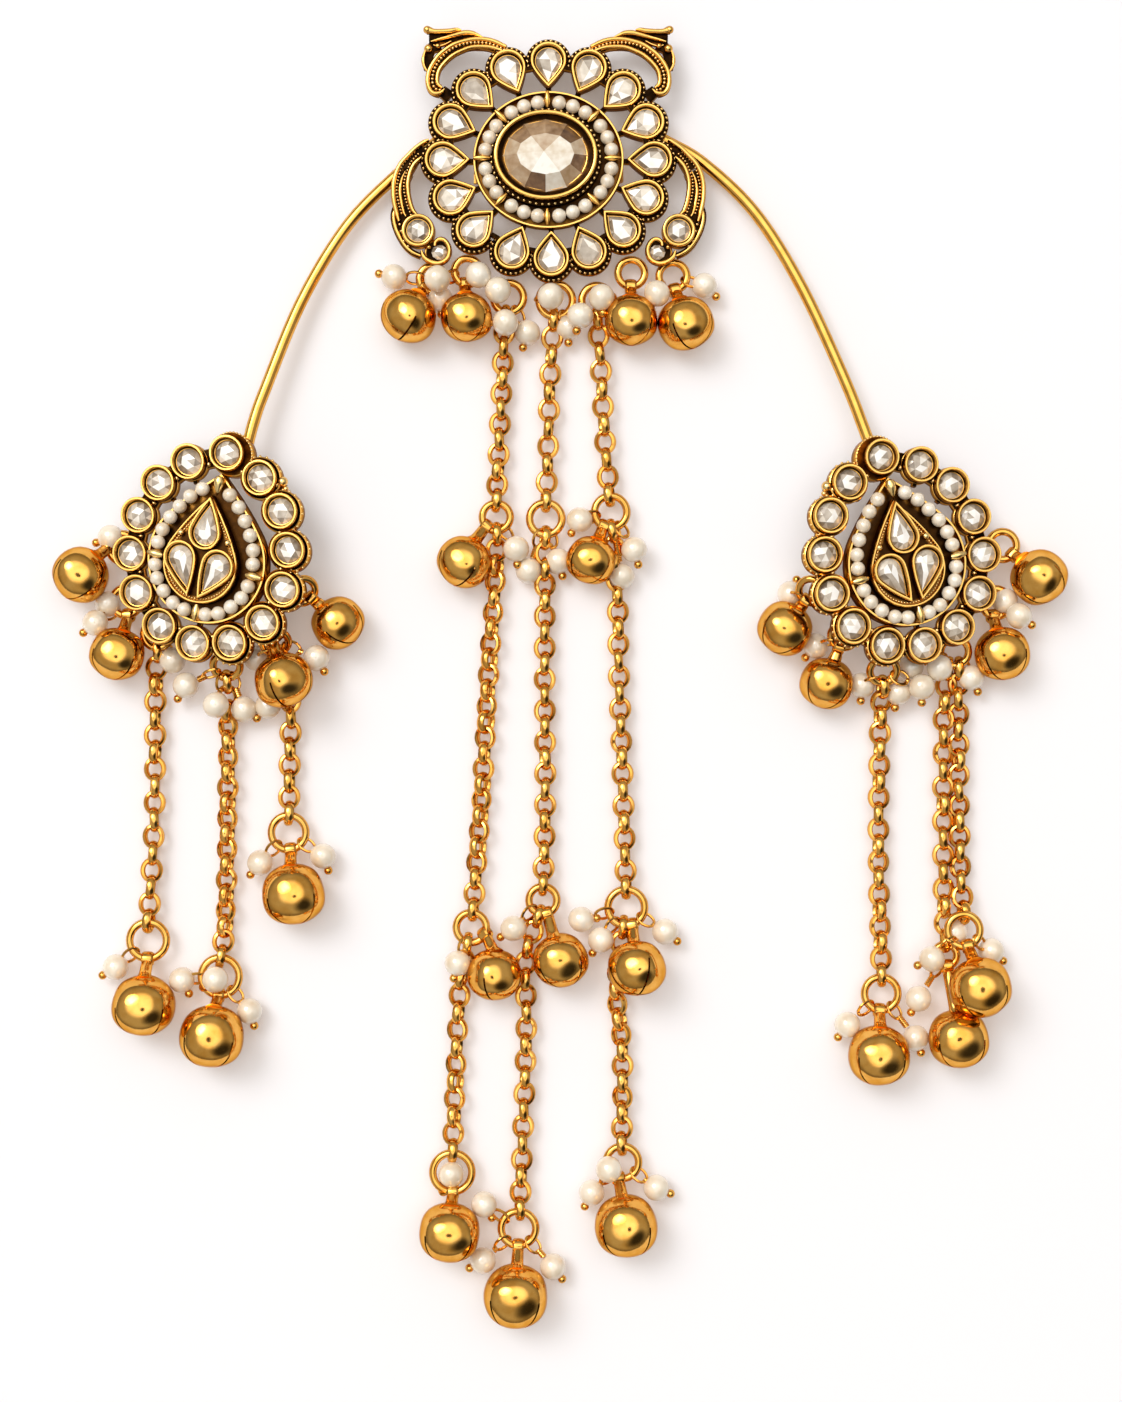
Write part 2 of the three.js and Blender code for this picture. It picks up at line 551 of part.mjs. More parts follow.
// ---- bells -----------------------------------------------------------------------------
// Place of the round body, its diameter, the way its neck points (degrees from +X, and up from
// the level) and how far the neck reaches from the middle of the body.
const BELLS = [
  { name: "brooch_1", x: -25.0, y: -27.8, z: 4.9, size: 9.4, turn: 64, reach: 5.3 },
  { name: "brooch_2", x: -14.7, y: -27.9, z: 4.9, size: 8.4, turn: 92, reach: 5.9 },
  { name: "brooch_3", x: 14.8, y: -28.5, z: 4.9, size: 8.6, turn: 90, reach: 6.1 },
  { name: "brooch_4", x: 24.6, y: -29.1, z: 4.9, size: 9.4, turn: 106, reach: 6.1 },
  { name: "tier_1_left", x: -15.1, y: -71.8, z: 4.8, size: 9.0, turn: 63, reach: 5.5 },
  { name: "tier_1_right", x: 7.6, y: -71.5, z: 5.2, size: 8.4, turn: 70, reach: 5.6 },
  { name: "tier_2_left", x: -9.7, y: -145.7, z: 4.8, size: 9.0, turn: 93, reach: 5.7 },
  { name: "tier_2_middle", x: 2.1, y: -143.1, z: 5.0, size: 9.4, turn: 106, reach: 7.4 },
  { name: "tier_2_right", x: 15.7, y: -144.3, z: 7.6, size: 9.6, turn: 95, rise: -27, reach: 7.3 },
  { name: "tier_3_left", x: -17.7, y: -191.7, z: 5.3, size: 10.4, turn: 86, reach: 6.4 },
  { name: "tier_3_middle", x: -5.9, y: -203.0, z: 5.5, size: 10.9, turn: 87, reach: 8.1 },
  { name: "tier_3_right", x: 13.9, y: -190.5, z: 5.4, size: 10.7, turn: 98, reach: 7.8 },
  { name: "left_1", x: -83.7, y: -74.1, z: 4.9, size: 9.5, turn: 47, reach: 6.2 },
  { name: "left_2", x: -77.2, y: -88.3, z: 4.8, size: 9.2, turn: 75, reach: 5.6 },
  { name: "left_3", x: -37.7, y: -82.7, z: 4.7, size: 9.0, turn: 136, reach: 5.2 },
  { name: "left_4", x: -47.0, y: -93.0, z: 8.9, size: 9.6, turn: 105, reach: 5.6 },
  { name: "left_outer_end", x: -72.4, y: -151.1, z: 5.4, size: 10.7, turn: 88, reach: 6.8 },
  { name: "left_middle_end", x: -60.1, y: -156.6, z: 5.6, size: 11.0, turn: 84, reach: 6.0 },
  { name: "left_inner_end", x: -45.6, y: -131.2, z: 5.4, size: 10.7, turn: 96, reach: 7.5 },
  { name: "right_1", x: 87.8, y: -74.5, z: 4.9, size: 9.5, turn: 135, reach: 5.1 },
  { name: "right_2", x: 81.2, y: -88.2, z: 4.8, size: 9.3, turn: 102, reach: 5.4 },
  { name: "right_3", x: 42.3, y: -83.7, z: 4.8, size: 9.3, turn: 53, reach: 4.9 },
  { name: "right_4", x: 49.8, y: -93.5, z: 4.7, size: 9.0, turn: 71, reach: 5.6 },
  { name: "right_inner_end", x: 59.1, y: -160.0, z: 5.4, size: 10.5, turn: 87, reach: 5.8 },
  { name: "right_outer_end", x: 73.3, y: -157.1, z: 5.2, size: 10.2, turn: 95, reach: 5.4 },
  { name: "right_top_end", x: 76.7, y: -147.6, z: 8.5, size: 10.4, turn: 103, reach: 7.1 },
];
const BELL_NECK = 2.0; // diameter of the strap neck, taken as round

// Body turned about its own upright axis, with the neck at the top.
function bell({ size, reach }) {
  const radius = size / 2;
  const profile = [
    [0, -0.97], [0.55, -0.83], [0.93, -0.37], [1, 0.12], [0.8, 0.62], [0.42, 0.9],
  ].map(([across, up]) => new THREE.Vector2(across * radius, up * radius));
  profile.push(new THREE.Vector2(BELL_NECK / 2, radius * 0.98));
  profile.push(new THREE.Vector2(BELL_NECK / 2, reach));
  profile.push(new THREE.Vector2(0, reach));
  return solidOf(new THREE.LatheGeometry(profile, 6));
}

function placeBell(mesh, { x, y, z, turn, rise = 0 }) {
  mesh.rotation.order = "ZYX";
  mesh.rotation.z = THREE.MathUtils.degToRad(turn - 90);
  mesh.rotation.x = THREE.MathUtils.degToRad(rise);
  mesh.position.set(x, y, z);
  return mesh;
}

// ---- assembly --------------------------------------------------------------------------
const ornament = new THREE.Group();
ornament.add(node("hair_clip", hairClip(), brightGold));
ornament.add(node("brooch_frame", broochFrame(), antiqueGold));
ornament.add(node("centre_stone", centreStone(), champagne));
const broochLoop = ellipse(...PEARL_LOOP, 24);
const broochLoopZ = BACK + PLATE + GAP + SEED_PEARL / 2;
ornament.add(node("brooch_pearl_ring", pearlLoop(broochLoop, SEED_PEARL, broochLoopZ), pearlWhite));
for (const drop of SIDE_DROPS) {
  ornament.add(placeDrop(node(`drop_frame_${drop.name}`, dropFrame(drop.side), antiqueGold), drop));
  ornament.add(placeDrop(node(`drop_pearls_${drop.name}`, dropPearls(), pearlWhite), drop));
}
for (const { name, points } of ARM_WIRES) {
  ornament.add(node(`arm_wire_${name}`, bar(points, ARM_WIRE, 6, 12), brightGold));
}
for (const row of FRINGE_RINGS) {
  ornament.add(node(row.name, pearlRing(row), brightGold));
}
for (const row of STRANDS) {
  ornament.add(node(`strand_${row.name}`, strand(row), brightGold));
}
for (const row of BELLS) {
  ornament.add(placeBell(node(`bell_${row.name}`, bell(row), brightGold), row));
}
export default ornament;
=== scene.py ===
"""The bun ornament's finish: a jewelled brooch, two jewelled side drops on arc wires, and strands of
belcher chain with jump rings, pearls on eye pins and small round bells. Shapes are drawn in millimetres
in the frame's own axes and are brought to metres when a piece is done."""
import math
import random

import bmesh
import bpy
from mathutils import Matrix, Vector, noise


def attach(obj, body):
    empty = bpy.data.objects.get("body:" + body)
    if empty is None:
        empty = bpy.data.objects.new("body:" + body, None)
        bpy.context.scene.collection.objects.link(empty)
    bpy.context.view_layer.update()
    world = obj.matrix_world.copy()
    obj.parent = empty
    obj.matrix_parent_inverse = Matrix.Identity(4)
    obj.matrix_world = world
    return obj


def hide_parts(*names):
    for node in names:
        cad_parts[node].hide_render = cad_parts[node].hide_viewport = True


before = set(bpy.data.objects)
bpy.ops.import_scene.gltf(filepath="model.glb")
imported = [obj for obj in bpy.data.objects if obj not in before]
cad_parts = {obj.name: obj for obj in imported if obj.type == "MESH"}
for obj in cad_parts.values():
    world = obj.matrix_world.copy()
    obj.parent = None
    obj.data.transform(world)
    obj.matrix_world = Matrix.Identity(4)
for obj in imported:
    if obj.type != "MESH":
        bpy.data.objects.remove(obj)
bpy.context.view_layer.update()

MM = 0.001
UP = Vector((0, 0, 1))


# ---- shader maths
class Value:
    """A number socket that can be added, taken away and multiplied."""

    def __init__(self, finish, socket):
        self.finish = finish
        self.socket = socket

    def worked(self, operation, first, second):
        return self.finish.node("ShaderNodeMath", {"operation": operation}, {0: first, 1: second})

    def __add__(self, other):
        return self.worked("ADD", self, other)

    def __sub__(self, other):
        return self.worked("SUBTRACT", self, other)

    def __rsub__(self, other):
        return self.worked("SUBTRACT", other, self)

    def __mul__(self, other):
        return self.worked("MULTIPLY", self, other)

    __radd__ = __add__
    __rmul__ = __mul__


class Finish:
    """A material, or the world, in the making: one method adds every node."""

    def __init__(self, owner):
        owner.use_nodes = True
        self.owner = owner
        self.tree = owner.node_tree

    def node(self, kind, settings, sockets, output=0):
        made = self.tree.nodes.new(kind)
        for name, setting in settings.items():
            if name == "stops":
                self.set_stops(made.color_ramp, setting)
            else:
                setattr(made, name, setting)
        self.fill(made, sockets)
        return Value(self, made.outputs[output])

    def fill(self, node, sockets):
        for name, value in sockets.items():
            if isinstance(value, Value):
                self.tree.links.new(value.socket, node.inputs[name])
            else:
                node.inputs[name].default_value = value

    def set_stops(self, ramp, stops):
        while len(ramp.elements) < len(stops):
            ramp.elements.new(0.5)
        for element, (position, colour) in zip(ramp.elements, stops):
            element.position = position
            element.color = (*colour, 1)

    def ramp(self, amount, stops):
        return self.node("ShaderNodeValToRGB", {"stops": stops}, {"Fac": amount})

    def noise(self, scale, detail=3.0):
        place = self.node("ShaderNodeTexCoord", {}, {}, "Object")
        return self.node("ShaderNodeTexNoise", {}, {"Vector": place, "Scale": scale, "Detail": detail})

    def attribute(self, name):
        return self.node("ShaderNodeAttribute", {"attribute_name": name}, {}, "Fac")

    def surface(self, sockets):
        self.fill(self.tree.nodes["Principled BSDF"], sockets)
        return self.owner


def new_finish(name):
    return Finish(bpy.data.materials.new(name))


def bump(finish, height, strength, distance):
    return finish.node(
        "ShaderNodeBump", {}, {"Height": height, "Strength": strength, "Distance": distance * MM}
    )


def antique_gold():
    """Cast gold plate: dark patina with painted shade in the hollows, and real rubbing with a painted
    highlight on what stands up.
    """
    finish = new_finish("antique_gold")
    # The attribute read here is partly real patina and wear, partly painted light: painted shade in hollows
    # and at feet, a painted highlight along crests.
    lift = finish.attribute("lift")
    cloud = finish.noise(900)
    # Random wear and tone on top of that patina and painted light.
    patina_light_and_wear = lift + (cloud - 0.5) * 0.3
    colour = finish.ramp(
        patina_light_and_wear,
        [
            (0.0, (0.006, 0.0025, 0.001)),
            (0.25, (0.055, 0.02, 0.003)),
            (0.5, (0.36, 0.155, 0.022)),
            (0.8, (0.74, 0.37, 0.07)),
            (1.0, (0.93, 0.54, 0.13)),
        ],
    )
    grain = finish.noise(3800, 2)
    return finish.surface(
        {
            "Base Color": colour,
            "Metallic": 1.0,
            "Roughness": 0.36 - lift * 0.24 + cloud * 0.04,
            "Specular Tint": (0.6, 0.42, 0.27, 1),
            "Coat Weight": lift * 0.2,
            "Coat Roughness": 0.1,
            "Normal": bump(finish, grain, 0.2, 0.03),
        }
    )


def polished_gold(name, colour, shade, roughness):
    """Bright plated gold with a faint cloudiness and fine wear."""
    finish = new_finish(name)
    cloud = finish.noise(420)
    fine = finish.noise(2600)
    mix = finish.ramp(cloud, [(0.3, shade), (0.62, colour)])
    return finish.surface(
        {
            "Base Color": mix,
            "Metallic": 1.0,
            "Roughness": roughness + (fine - 0.5) * 0.1,
            "Specular Tint": (0.64, 0.44, 0.27, 1),
            "Coat Weight": 0.2,
            "Coat Roughness": 0.08,
            "Normal": bump(finish, cloud, 0.2, 0.05),
        }
    )


def pearl_finish():
    """Cream pearl under a glossy skin."""
    finish = new_finish("pearl")
    cloud = finish.noise(260)
    colour = finish.ramp(
        cloud, [(0.3, (0.79, 0.63, 0.44)), (0.5, (0.88, 0.75, 0.57)), (0.75, (0.94, 0.85, 0.71))]
    )
    return finish.surface(
        {
            "Base Color": colour,
            "Roughness": 0.3,
            "Specular IOR Level": 0.6,
            "Coat Weight": 1.0,
            "Coat IOR": 1.9,
            "Coat Roughness": 0.07,
            "Normal": bump(finish, cloud, 0.12, 0.05),
        }
    )


def stone_finish(name, stops):
    """Foil-backed glass in its own tint, with a painted reflection on each facet: a light or dark tone set
    per facet, broken by streaks.
    """
    finish = new_finish(name)
    tone = finish.attribute("tone")
    streak = finish.noise(700, 2)
    colour = finish.ramp(tone + (streak - 0.5) * 0.45, stops)
    return finish.surface(
        {
            "Base Color": colour,
            "Metallic": 0.08,
            "Roughness": 0.2,
            "Coat Weight": 0.5,
            "Coat Roughness": 0.03,
        }
    )


ANTIQUE = antique_gold()
BRIGHT = polished_gold("bright_gold", (0.88, 0.465, 0.10), (0.74, 0.335, 0.045), 0.12)
WIRE = polished_gold("wire_gold", (0.88, 0.48, 0.10), (0.78, 0.39, 0.06), 0.15)
# A paler, brighter copy of the same gold, so that the milgrain beads carry a painted highlight.
GRAIN_PAINTED_HIGHLIGHT = polished_gold("milgrain_gold_painted_highlight", (1.0, 0.72, 0.30), (0.95, 0.60, 0.19), 0.24)
PEARL = pearl_finish()
CLEAR = stone_finish(
    "clear_stone",
    [
        (0.0, (0.03, 0.02, 0.01)), (0.25, (0.20, 0.15, 0.10)), (0.5, (0.46, 0.38, 0.29)),
        (0.75, (0.76, 0.67, 0.54)), (1.0, (0.97, 0.92, 0.85)),
    ],
)
CHAMPAGNE = stone_finish(
    "champagne_stone",
    [
        (0.0, (0.04, 0.015, 0.006)), (0.25, (0.20, 0.10, 0.04)), (0.5, (0.44, 0.28, 0.15)),
        (0.75, (0.66, 0.53, 0.37)), (1.0, (0.90, 0.85, 0.75)),
    ],
)


# ---- drawing
def in_scene(name, data):
    made = bpy.data.objects.new(name, data)
    bpy.context.scene.collection.objects.link(made)
    return made


def at(x, y, z=0.0, turn=0.0):
    """A place, turned about the upright axis."""
    return Matrix.Translation((x, y, z)) @ Matrix.Rotation(math.radians(turn), 4, "Z")


def axes(across, along, up, origin):
    """A place given by its three axes and its origin."""
    turned = Matrix((across, along, up)).transposed().to_4x4()
    turned.translation = origin
    return turned


# The per-vertex level read by the antique gold: low is dark patina with painted shade, high is rubbed gold
# with a painted highlight.
def patina_and_light_layer(shape):
    return shape.verts.layers.float.get("lift") or shape.verts.layers.float.new("lift")


def template(shape):
    """The finished shape as a mesh that pieces can take as often as they need."""
    bmesh.ops.remove_doubles(shape, verts=shape.verts, dist=0.002)
    bmesh.ops.recalc_face_normals(shape, faces=shape.faces)
    mesh = bpy.data.meshes.new("template")
    shape.to_mesh(mesh)
    shape.free()
    return mesh


def sweep(section, places, closed=False):
    """A section (rows of across, up, and the level of patina and painted light) drawn through a row of
    places; its ends meet or are capped.
    """
    shape = bmesh.new()
    lift = patina_and_light_layer(shape)
    corners = []
    for across, up, patina_and_light_value in section:
        corners.append(shape.verts.new(places[0] @ Vector((across, 0, up))))
        corners[-1][lift] = patina_and_light_value
    edges = [shape.edges.new((corners[i - 1], corners[i])) for i in range(len(corners))]
    if not closed:
        bmesh.ops.edgeloop_fill(shape, edges=edges)
    before = places[0]
    for place in places[1:] + (places[:1] if closed else []):
        grown = bmesh.ops.extrude_edge_only(shape, edges=edges)["geom"]
        corners = [part for part in grown if isinstance(part, bmesh.types.BMVert)]
        bmesh.ops.transform(shape, matrix=place @ before.inverted(), verts=corners)
        edges = [part for part in grown if isinstance(part, bmesh.types.BMEdge) and part.is_boundary]
        before = place
    if not closed:
        bmesh.ops.edgeloop_fill(shape, edges=edges)
    return template(shape)


def turned(profile, steps):
    """A profile (rows of radius, up, and the level of patina and painted light) turned about the upright
    axis.
    """
    shape = bmesh.new()
    lift = patina_and_light_layer(shape)
    corners = []
    for radius, up, patina_and_light_value in profile:
        corners.append(shape.verts.new((radius, 0, up)))
        corners[-1][lift] = patina_and_light_value
    edges = [shape.edges.new(pair) for pair in zip(corners, corners[1:])]
    if profile[0][0] > 0:
        edges.append(shape.edges.new((corners[-1], corners[0])))
    bmesh.ops.spin(
        shape, geom=corners + edges, cent=(0, 0, 0), axis=(0, 0, 1), angle=2 * math.pi, steps=steps,
        use_merge=True, use_duplicate=False,
    )
    return template(shape)


def round_section(radius, sides):
    """A round wire's section, at level 1 of patina and painted light all round."""
    turns = [2 * math.pi * i / sides for i in range(sides)]
    return [(radius * math.cos(turn), radius * math.sin(turn), 1) for turn in turns]


def ball(around, up):
    """A ball of radius 1, lighter on top and darker below: rubbed wear with a painted highlight on top,
    painted shade underneath.
    """
    shape = bmesh.new()
    bmesh.ops.create_uvsphere(shape, u_segments=around, v_segments=up, radius=1)
    lift = patina_and_light_layer(shape)
    # Painted shade towards the bottom, painted highlight towards the top.
    for corner in shape.verts:
        corner[lift] = 0.6 + 0.45 * corner.co.z
    return template(shape)


def oval(half_x, half_y, sides):
    """Corners of an ellipse, anticlockwise from the tip of its x axis."""
    turns = [2 * math.pi * i / sides for i in range(sides)]
    return [Vector((half_x * math.cos(turn), half_y * math.sin(turn), 0)) for turn in turns]


SHOULDER = 1.15  # how much sooner than a tangent the flank of a drop leaves its round end
BOW = 0.45  # fullness of the flanks


def teardrop(radius, reach, arc_steps, flank_steps):
    """A drop outline, anticlockwise: a round end about the middle, and a point at `reach`."""
    tangent = math.acos(radius / reach) * SHOULDER
    corners = []
    for i in range(arc_steps + 1):
        turn = tangent + 2 * (math.pi - tangent) * i / arc_steps
        corners.append(Vector((-radius * math.sin(turn), radius * math.cos(turn), 0)))
    tip = Vector((0, reach, 0))
    foot = corners[-1]
    way = Vector((-math.cos(tangent), math.sin(tangent), 0))
    bow = foot + way * (BOW * (tip - foot).length)
    rising = []
    for i in range(1, flank_steps):
        t = i / flank_steps
        rising.append(foot * (1 - t) ** 2 + bow * (2 * t * (1 - t)) + tip * t ** 2)
    falling = [Vector((-p.x, p.y, 0)) for p in reversed(rising)]
    return corners + rising + [tip] + falling


SHARPEST_MITRE = 0.6  # cosine of half the turn past which a corner is no longer carried out to its point


def rim_places(outline):
    """A place at each corner of a flat closed outline: across points outwards and is mitred."""
    places = []
    for i, here in enumerate(outline):
        arrive = (here - outline[i - 1]).normalized()
        leave = (outline[(i + 1) % len(outline)] - here).normalized()
        along = (arrive + leave).normalized()
        out = along.cross(UP)
        mitre = 1 / max(SHARPEST_MITRE, out.dot(leave.cross(UP)))
        places.append(axes(out * mitre, along, UP, here))
    return places


def wire_places(route, widths=None):
    """A place at each point of an open route: across is level, and up is square to the route."""
    places = []
    for i, here in enumerate(route):
        along = (route[min(i + 1, len(route) - 1)] - route[max(i - 1, 0)]).normalized()
        across = along.cross(UP).normalized()
        wide = widths[i] if widths else 1
        places.append(axes(across * wide, along, across.cross(along), here))
    return places


def smooth_route(points, steps):
    """A curve through the points, in `steps` stretches between each two."""
    knots = [Vector(point) for point in points]
    knots = [2 * knots[0] - knots[1], *knots, 2 * knots[-1] - knots[-2]]
    route = []
    for a, b, c, d in zip(knots, knots[1:], knots[2:], knots[3:]):
        for i in range(steps):
            t = i / steps
            bend = (2 * a - 5 * b + 4 * c - d) * t ** 2 + (3 * b - a - 3 * c + d) * t ** 3
            route.append((2 * b + (c - a) * t + bend) / 2)
    route.append(knots[-2])
    return route


def spaced(route, first, last, count):
    """`count` even stops on a route, as place and direction, from `first` to `last` short of its end."""
    lengths = [0.0]
    for a, b in zip(route, route[1:]):
        lengths.append(lengths[-1] + (b - a).length)
    stops = []
    i = 0
    for k in range(count):
        goal = first + (lengths[-1] - last - first) * k / max(1, count - 1)
        while i < len(route) - 2 and lengths[i + 1] < goal:
            i += 1
        share = (goal - lengths[i]) / (lengths[i + 1] - lengths[i])
        stops.append((route[i].lerp(route[i + 1], share), (route[i + 1] - route[i]).normalized()))
    return stops


def length_of(route):
    return sum((b - a).length for a, b in zip(route, route[1:]))


CREASE = 42  # degrees past which an edge stays sharp


class Piece:
    """A visible piece that rides on the ornament and stands for one or more of its solids."""

    def __init__(self, name, finish, slot, *nodes):
        self.name = name
        self.finish = finish
        self.slot = slot
        self.nodes = nodes
        self.shape = bmesh.new()

    def add(self, mesh, place=None):
        copy = mesh.copy()
        if place is not None:
            copy.transform(place)
            if place.determinant() < 0:
                copy.flip_normals()
        self.shape.from_mesh(copy)
        bpy.data.meshes.remove(copy)

    def add_ball(self, where, radius, mesh=None):
        self.add(mesh or BEAD, Matrix.Translation(where) @ Matrix.Scale(radius, 4))

    def add_balls(self, place, spots, height, radius, mesh=None):
        for x, y in spots:
            self.add_ball(place @ Vector((x, y, height)), radius, mesh)

    def done(self, crease=CREASE):
        mesh = bpy.data.meshes.new(self.name)
        self.shape.to_mesh(mesh)
        self.shape.free()
        mesh.transform(Matrix.Scale(MM, 4))
        mesh.polygons.foreach_set("use_smooth", [True] * len(mesh.polygons))
        mesh.set_sharp_from_angle(angle=math.radians(crease))
        mesh.materials.append(self.finish)
        made = in_scene(self.name, mesh)
        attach(made, "root")
        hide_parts(*self.nodes)


BEAD = ball(8, 5)
SMOOTH_BALL = ball(14, 9)
SEED = ball(20, 12)
ROUND_PEARL = ball(28, 16)


# ---- cut stones
UPWARD_REFLECTIONS = (1.0, 0.97, 1.0, 0.85, 0.48, 0.98, 0.72)  # painted reflections of facets that look up, mostly light
SLOPING_REFLECTIONS = (0.75, 0.55, 0.4, 0.3, 0.55, 0.66, 0.36)  # and of the sloping ones, mostly darker
# Painted shade on the facets low at the foot, down in the bezel.
FOOT_PAINTED_SHADE = 0.1


def gem(girdle, foot, rows, apex, seed):
    """A cut stone of rows of corners: share of the girdle, height, every how many corners and from which."""
    shape = bmesh.new()
    for share, height, skip, shift in [(0.86, foot, 1, 0), *rows]:
        for corner in (girdle[shift:] + girdle[:shift])[::skip]:
            shape.verts.new((corner.x * share, corner.y * share, height))
    shape.verts.new(apex)
    bmesh.ops.convex_hull(shape, input=shape.verts)
    bmesh.ops.dissolve_limit(
        shape, angle_limit=math.radians(2), use_dissolve_boundaries=False,
        verts=shape.verts, edges=shape.edges,
    )
    shape.normal_update()
    draw = random.Random(seed)
    # Each facet gets a painted reflection: lighter where it looks up, darker on the slopes, and painted
    # shade at the foot.
    tone = shape.faces.layers.float.new("tone")
    for facet in shape.faces:
        facet[tone] = draw.choice(UPWARD_REFLECTIONS if facet.normal.z > 0.9 else SLOPING_REFLECTIONS)
        if facet.calc_center_median().z < foot + 0.3:
            facet[tone] = FOOT_PAINTED_SHADE
    return template(shape)


# ---- brooch
BACK = 3.9  # underside of the backplate
FACE = 5.0  # its upper face
BEZEL_FOOT = FACE - 0.5
BEZEL_TOP = 6.9
SEAT = 5.5  # height at which a stone meets its bezel
PETALS = 16
PETAL_RADII = (18.2, 17.05)  # ellipse on which the petals stand
OUTWARD = 0.7  # how far outside that ellipse a petal's round end sits
PETAL_NUDGE = {11: (0.7, 0), 12: (0.5, 0.1)}  # the lowest petals sit a little off centre
PETAL_REACH = 4.95  # from the middle of a petal's round end to its point
PETAL_CUTS = 7  # stones cut differently, used in turn
SCALLOP = 4.1
STONE_PLACE = (-0.5, 0.5)
STONE_BEZEL = (9.25, 8.0)
STONE_BEZEL_TOP = 8.3
STONE_TABLE = 8.65  # height of the big stone's table
PEARL_LOOP = (11.4, 10.2)
OUTER_WIRE = (13.25, 12.05)
DIVIDER_LOOP = (11.7, 10.5)
DIVIDERS = 8
SEED_PEARL = 2.4  # diameter
PEARLS_BETWEEN = (9.6, 22.5, 35.4)  # degrees from a divider to the three pearls after it


def bezel_section(foot, top, rim, recess, seat, shade=1.0):
    """Outer wall, rim, recess and the thin edge that holds the stone, as across, up and the level of patina
    and painted light.
    """
    stone = -rim - recess
    # Patina with painted shade at the foot and down in the recess, which `shade` darkens further; a painted
    # highlight along the crest and on the thin edge.
    return [
        (0, foot, 0.05), (0, top - 1.0, 0.3), (0, top - 0.3, 0.85), (-rim * 0.1, top - 0.1, 1.0),
        (-rim * 0.28, top, 1.1), (-rim * 0.72, top, 1.1), (-rim * 0.9, top - 0.1, 1.0),
        (-rim, top - 0.3, 0.8), (-rim - 0.05, seat + 0.45, 0.32 * shade),
        (stone + recess * 0.4, seat + 0.15, 0.12 * shade), (stone + 0.1, seat + 0.15, 0.4),
        (stone + 0.03, seat + 0.32, 0.9), (stone - 0.06, seat + 0.3, 0.85),
        (stone - 0.12, seat + 0.02, 0.2), (stone - 0.12, foot, 0.1),
    ]


def petal_places():
    places = []
    for i in range(PETALS):
        turn = 2 * math.pi * i / PETALS
        x = PETAL_RADII[0] * math.cos(turn)
        y = PETAL_RADII[1] * math.sin(turn)
        nudge = at(*PETAL_NUDGE.get(i, (0, 0)))
        places.append(nudge @ at(x, y, 0, math.degrees(math.atan2(y, x)) + 90) @ at(0, -OUTWARD))
    return places


def scallop(radius, foot, face, lip=0.12, patina_and_light_value=0.0):
    """Round backplate with a rolled lip; inside the lip its face is dark with patina and painted shade."""
    profile = [
        (0, foot, 0.1), (radius - 0.1, foot, 0.2), (radius, foot + 0.15, 0.45),
        (radius, face - 0.25, 0.75), (radius - 0.08, face + lip - 0.08, 0.9),
        (radius - 0.24, face + lip, 0.85), (radius - 0.38, face, patina_and_light_value + 0.05), (0, face, patina_and_light_value),
    ]
    return turned(profile, 36)


def both_sides(half):
    """A section from its left half, which its mirror image completes."""
    return half + [(-across, up, patina_and_light_value) for across, up, patina_and_light_value in reversed(half)]


def strip_plate(points, widths, foot, face):
    """A flat bar with softened edges along a route, as wide as `widths` says at its two ends."""
    route = smooth_route([(x, y, 0) for x, y in points], 5)
    wide = [widths[0] + (widths[1] - widths[0]) * i / (len(route) - 1) for i in range(len(route))]
    # Dark face with patina and painted shade; lighter softened edge with a painted highlight.
    half = [(-0.5, foot, 0.2), (-0.5, face - 0.12, 0.7), (-0.44, face, 0.04)]
    return sweep(both_sides(half), wire_places(route, wide))


def rib(points, widths, top, height, steps):
    """A raised half-round rib whose width changes from point to point."""
    route = smooth_route([(x, y, top - height / 2) for x, y in points], steps)
    wide = []
    for a, b in zip(widths, widths[1:]):
        wide += [a + (b - a) * i / steps for i in range(steps)]
    wide.append(widths[-1])
    # Dark at the foot with patina and painted shade, lighter towards the top with rubbed wear and a painted
    # highlight.
    half = [
        (-0.5, -height / 2, 0.1), (-0.5, height * 0.15, 0.6), (-0.38, height * 0.38, 0.95),
        (-0.16, height / 2, 1.05),
    ]
    return sweep(both_sides(half), wire_places(route, wide))


# Routes of the scroll at an upper corner, drawn for the right-hand side.
CORNER_BAND = [
    (18.6, 12.7), (19.3, 12.1), (20.5, 12.0), (21.3, 12.8), (21.6, 14.2), (21.4, 15.8), (20.7, 17.3),
    (19.6, 18.8), (18.2, 19.95), (16.8, 20.8), (15.1, 21.35), (13.3, 21.7), (11.6, 21.7),
    (10.2, 21.45), (9.0, 21.0), (7.6, 20.3),
]
CORNER_INNER = [
    (19.0, 12.95), (19.8, 13.7), (19.9, 14.9), (19.5, 16.3), (18.4, 17.7), (17.0, 18.9),
    (15.4, 19.7), (13.7, 20.3), (12.1, 20.4), (10.5, 20.3), (9.0, 19.9), (7.8, 19.3),
]
CORNER_BEADS = [
    (19.4, 12.6), (20.3, 12.9), (20.75, 14.0), (20.7, 15.2), (20.2, 16.8), (19.1, 18.4),
    (18.0, 19.5), (16.8, 20.25), (15.4, 20.8), (13.4, 21.1), (11.0, 21.0), (9.4, 20.5), (7.9, 19.8),
]
LEAF_TOP = [(21.6, 23.4), (20.5, 23.1), (19.1, 23.1), (17.5, 23.2), (16.4, 23.4), (15.6, 23.3)]
LEAF_LOW = [
    (21.0, 21.2), (19.6, 21.65), (17.9, 22.1), (16.5, 22.5), (15.1, 22.85), (13.7, 22.8),
    (12.6, 22.4), (11.7, 21.95),
]
LEAF_MID = [(20.6, 20.7), (19.8, 20.5), (18.6, 20.8), (17.4, 21.4)]
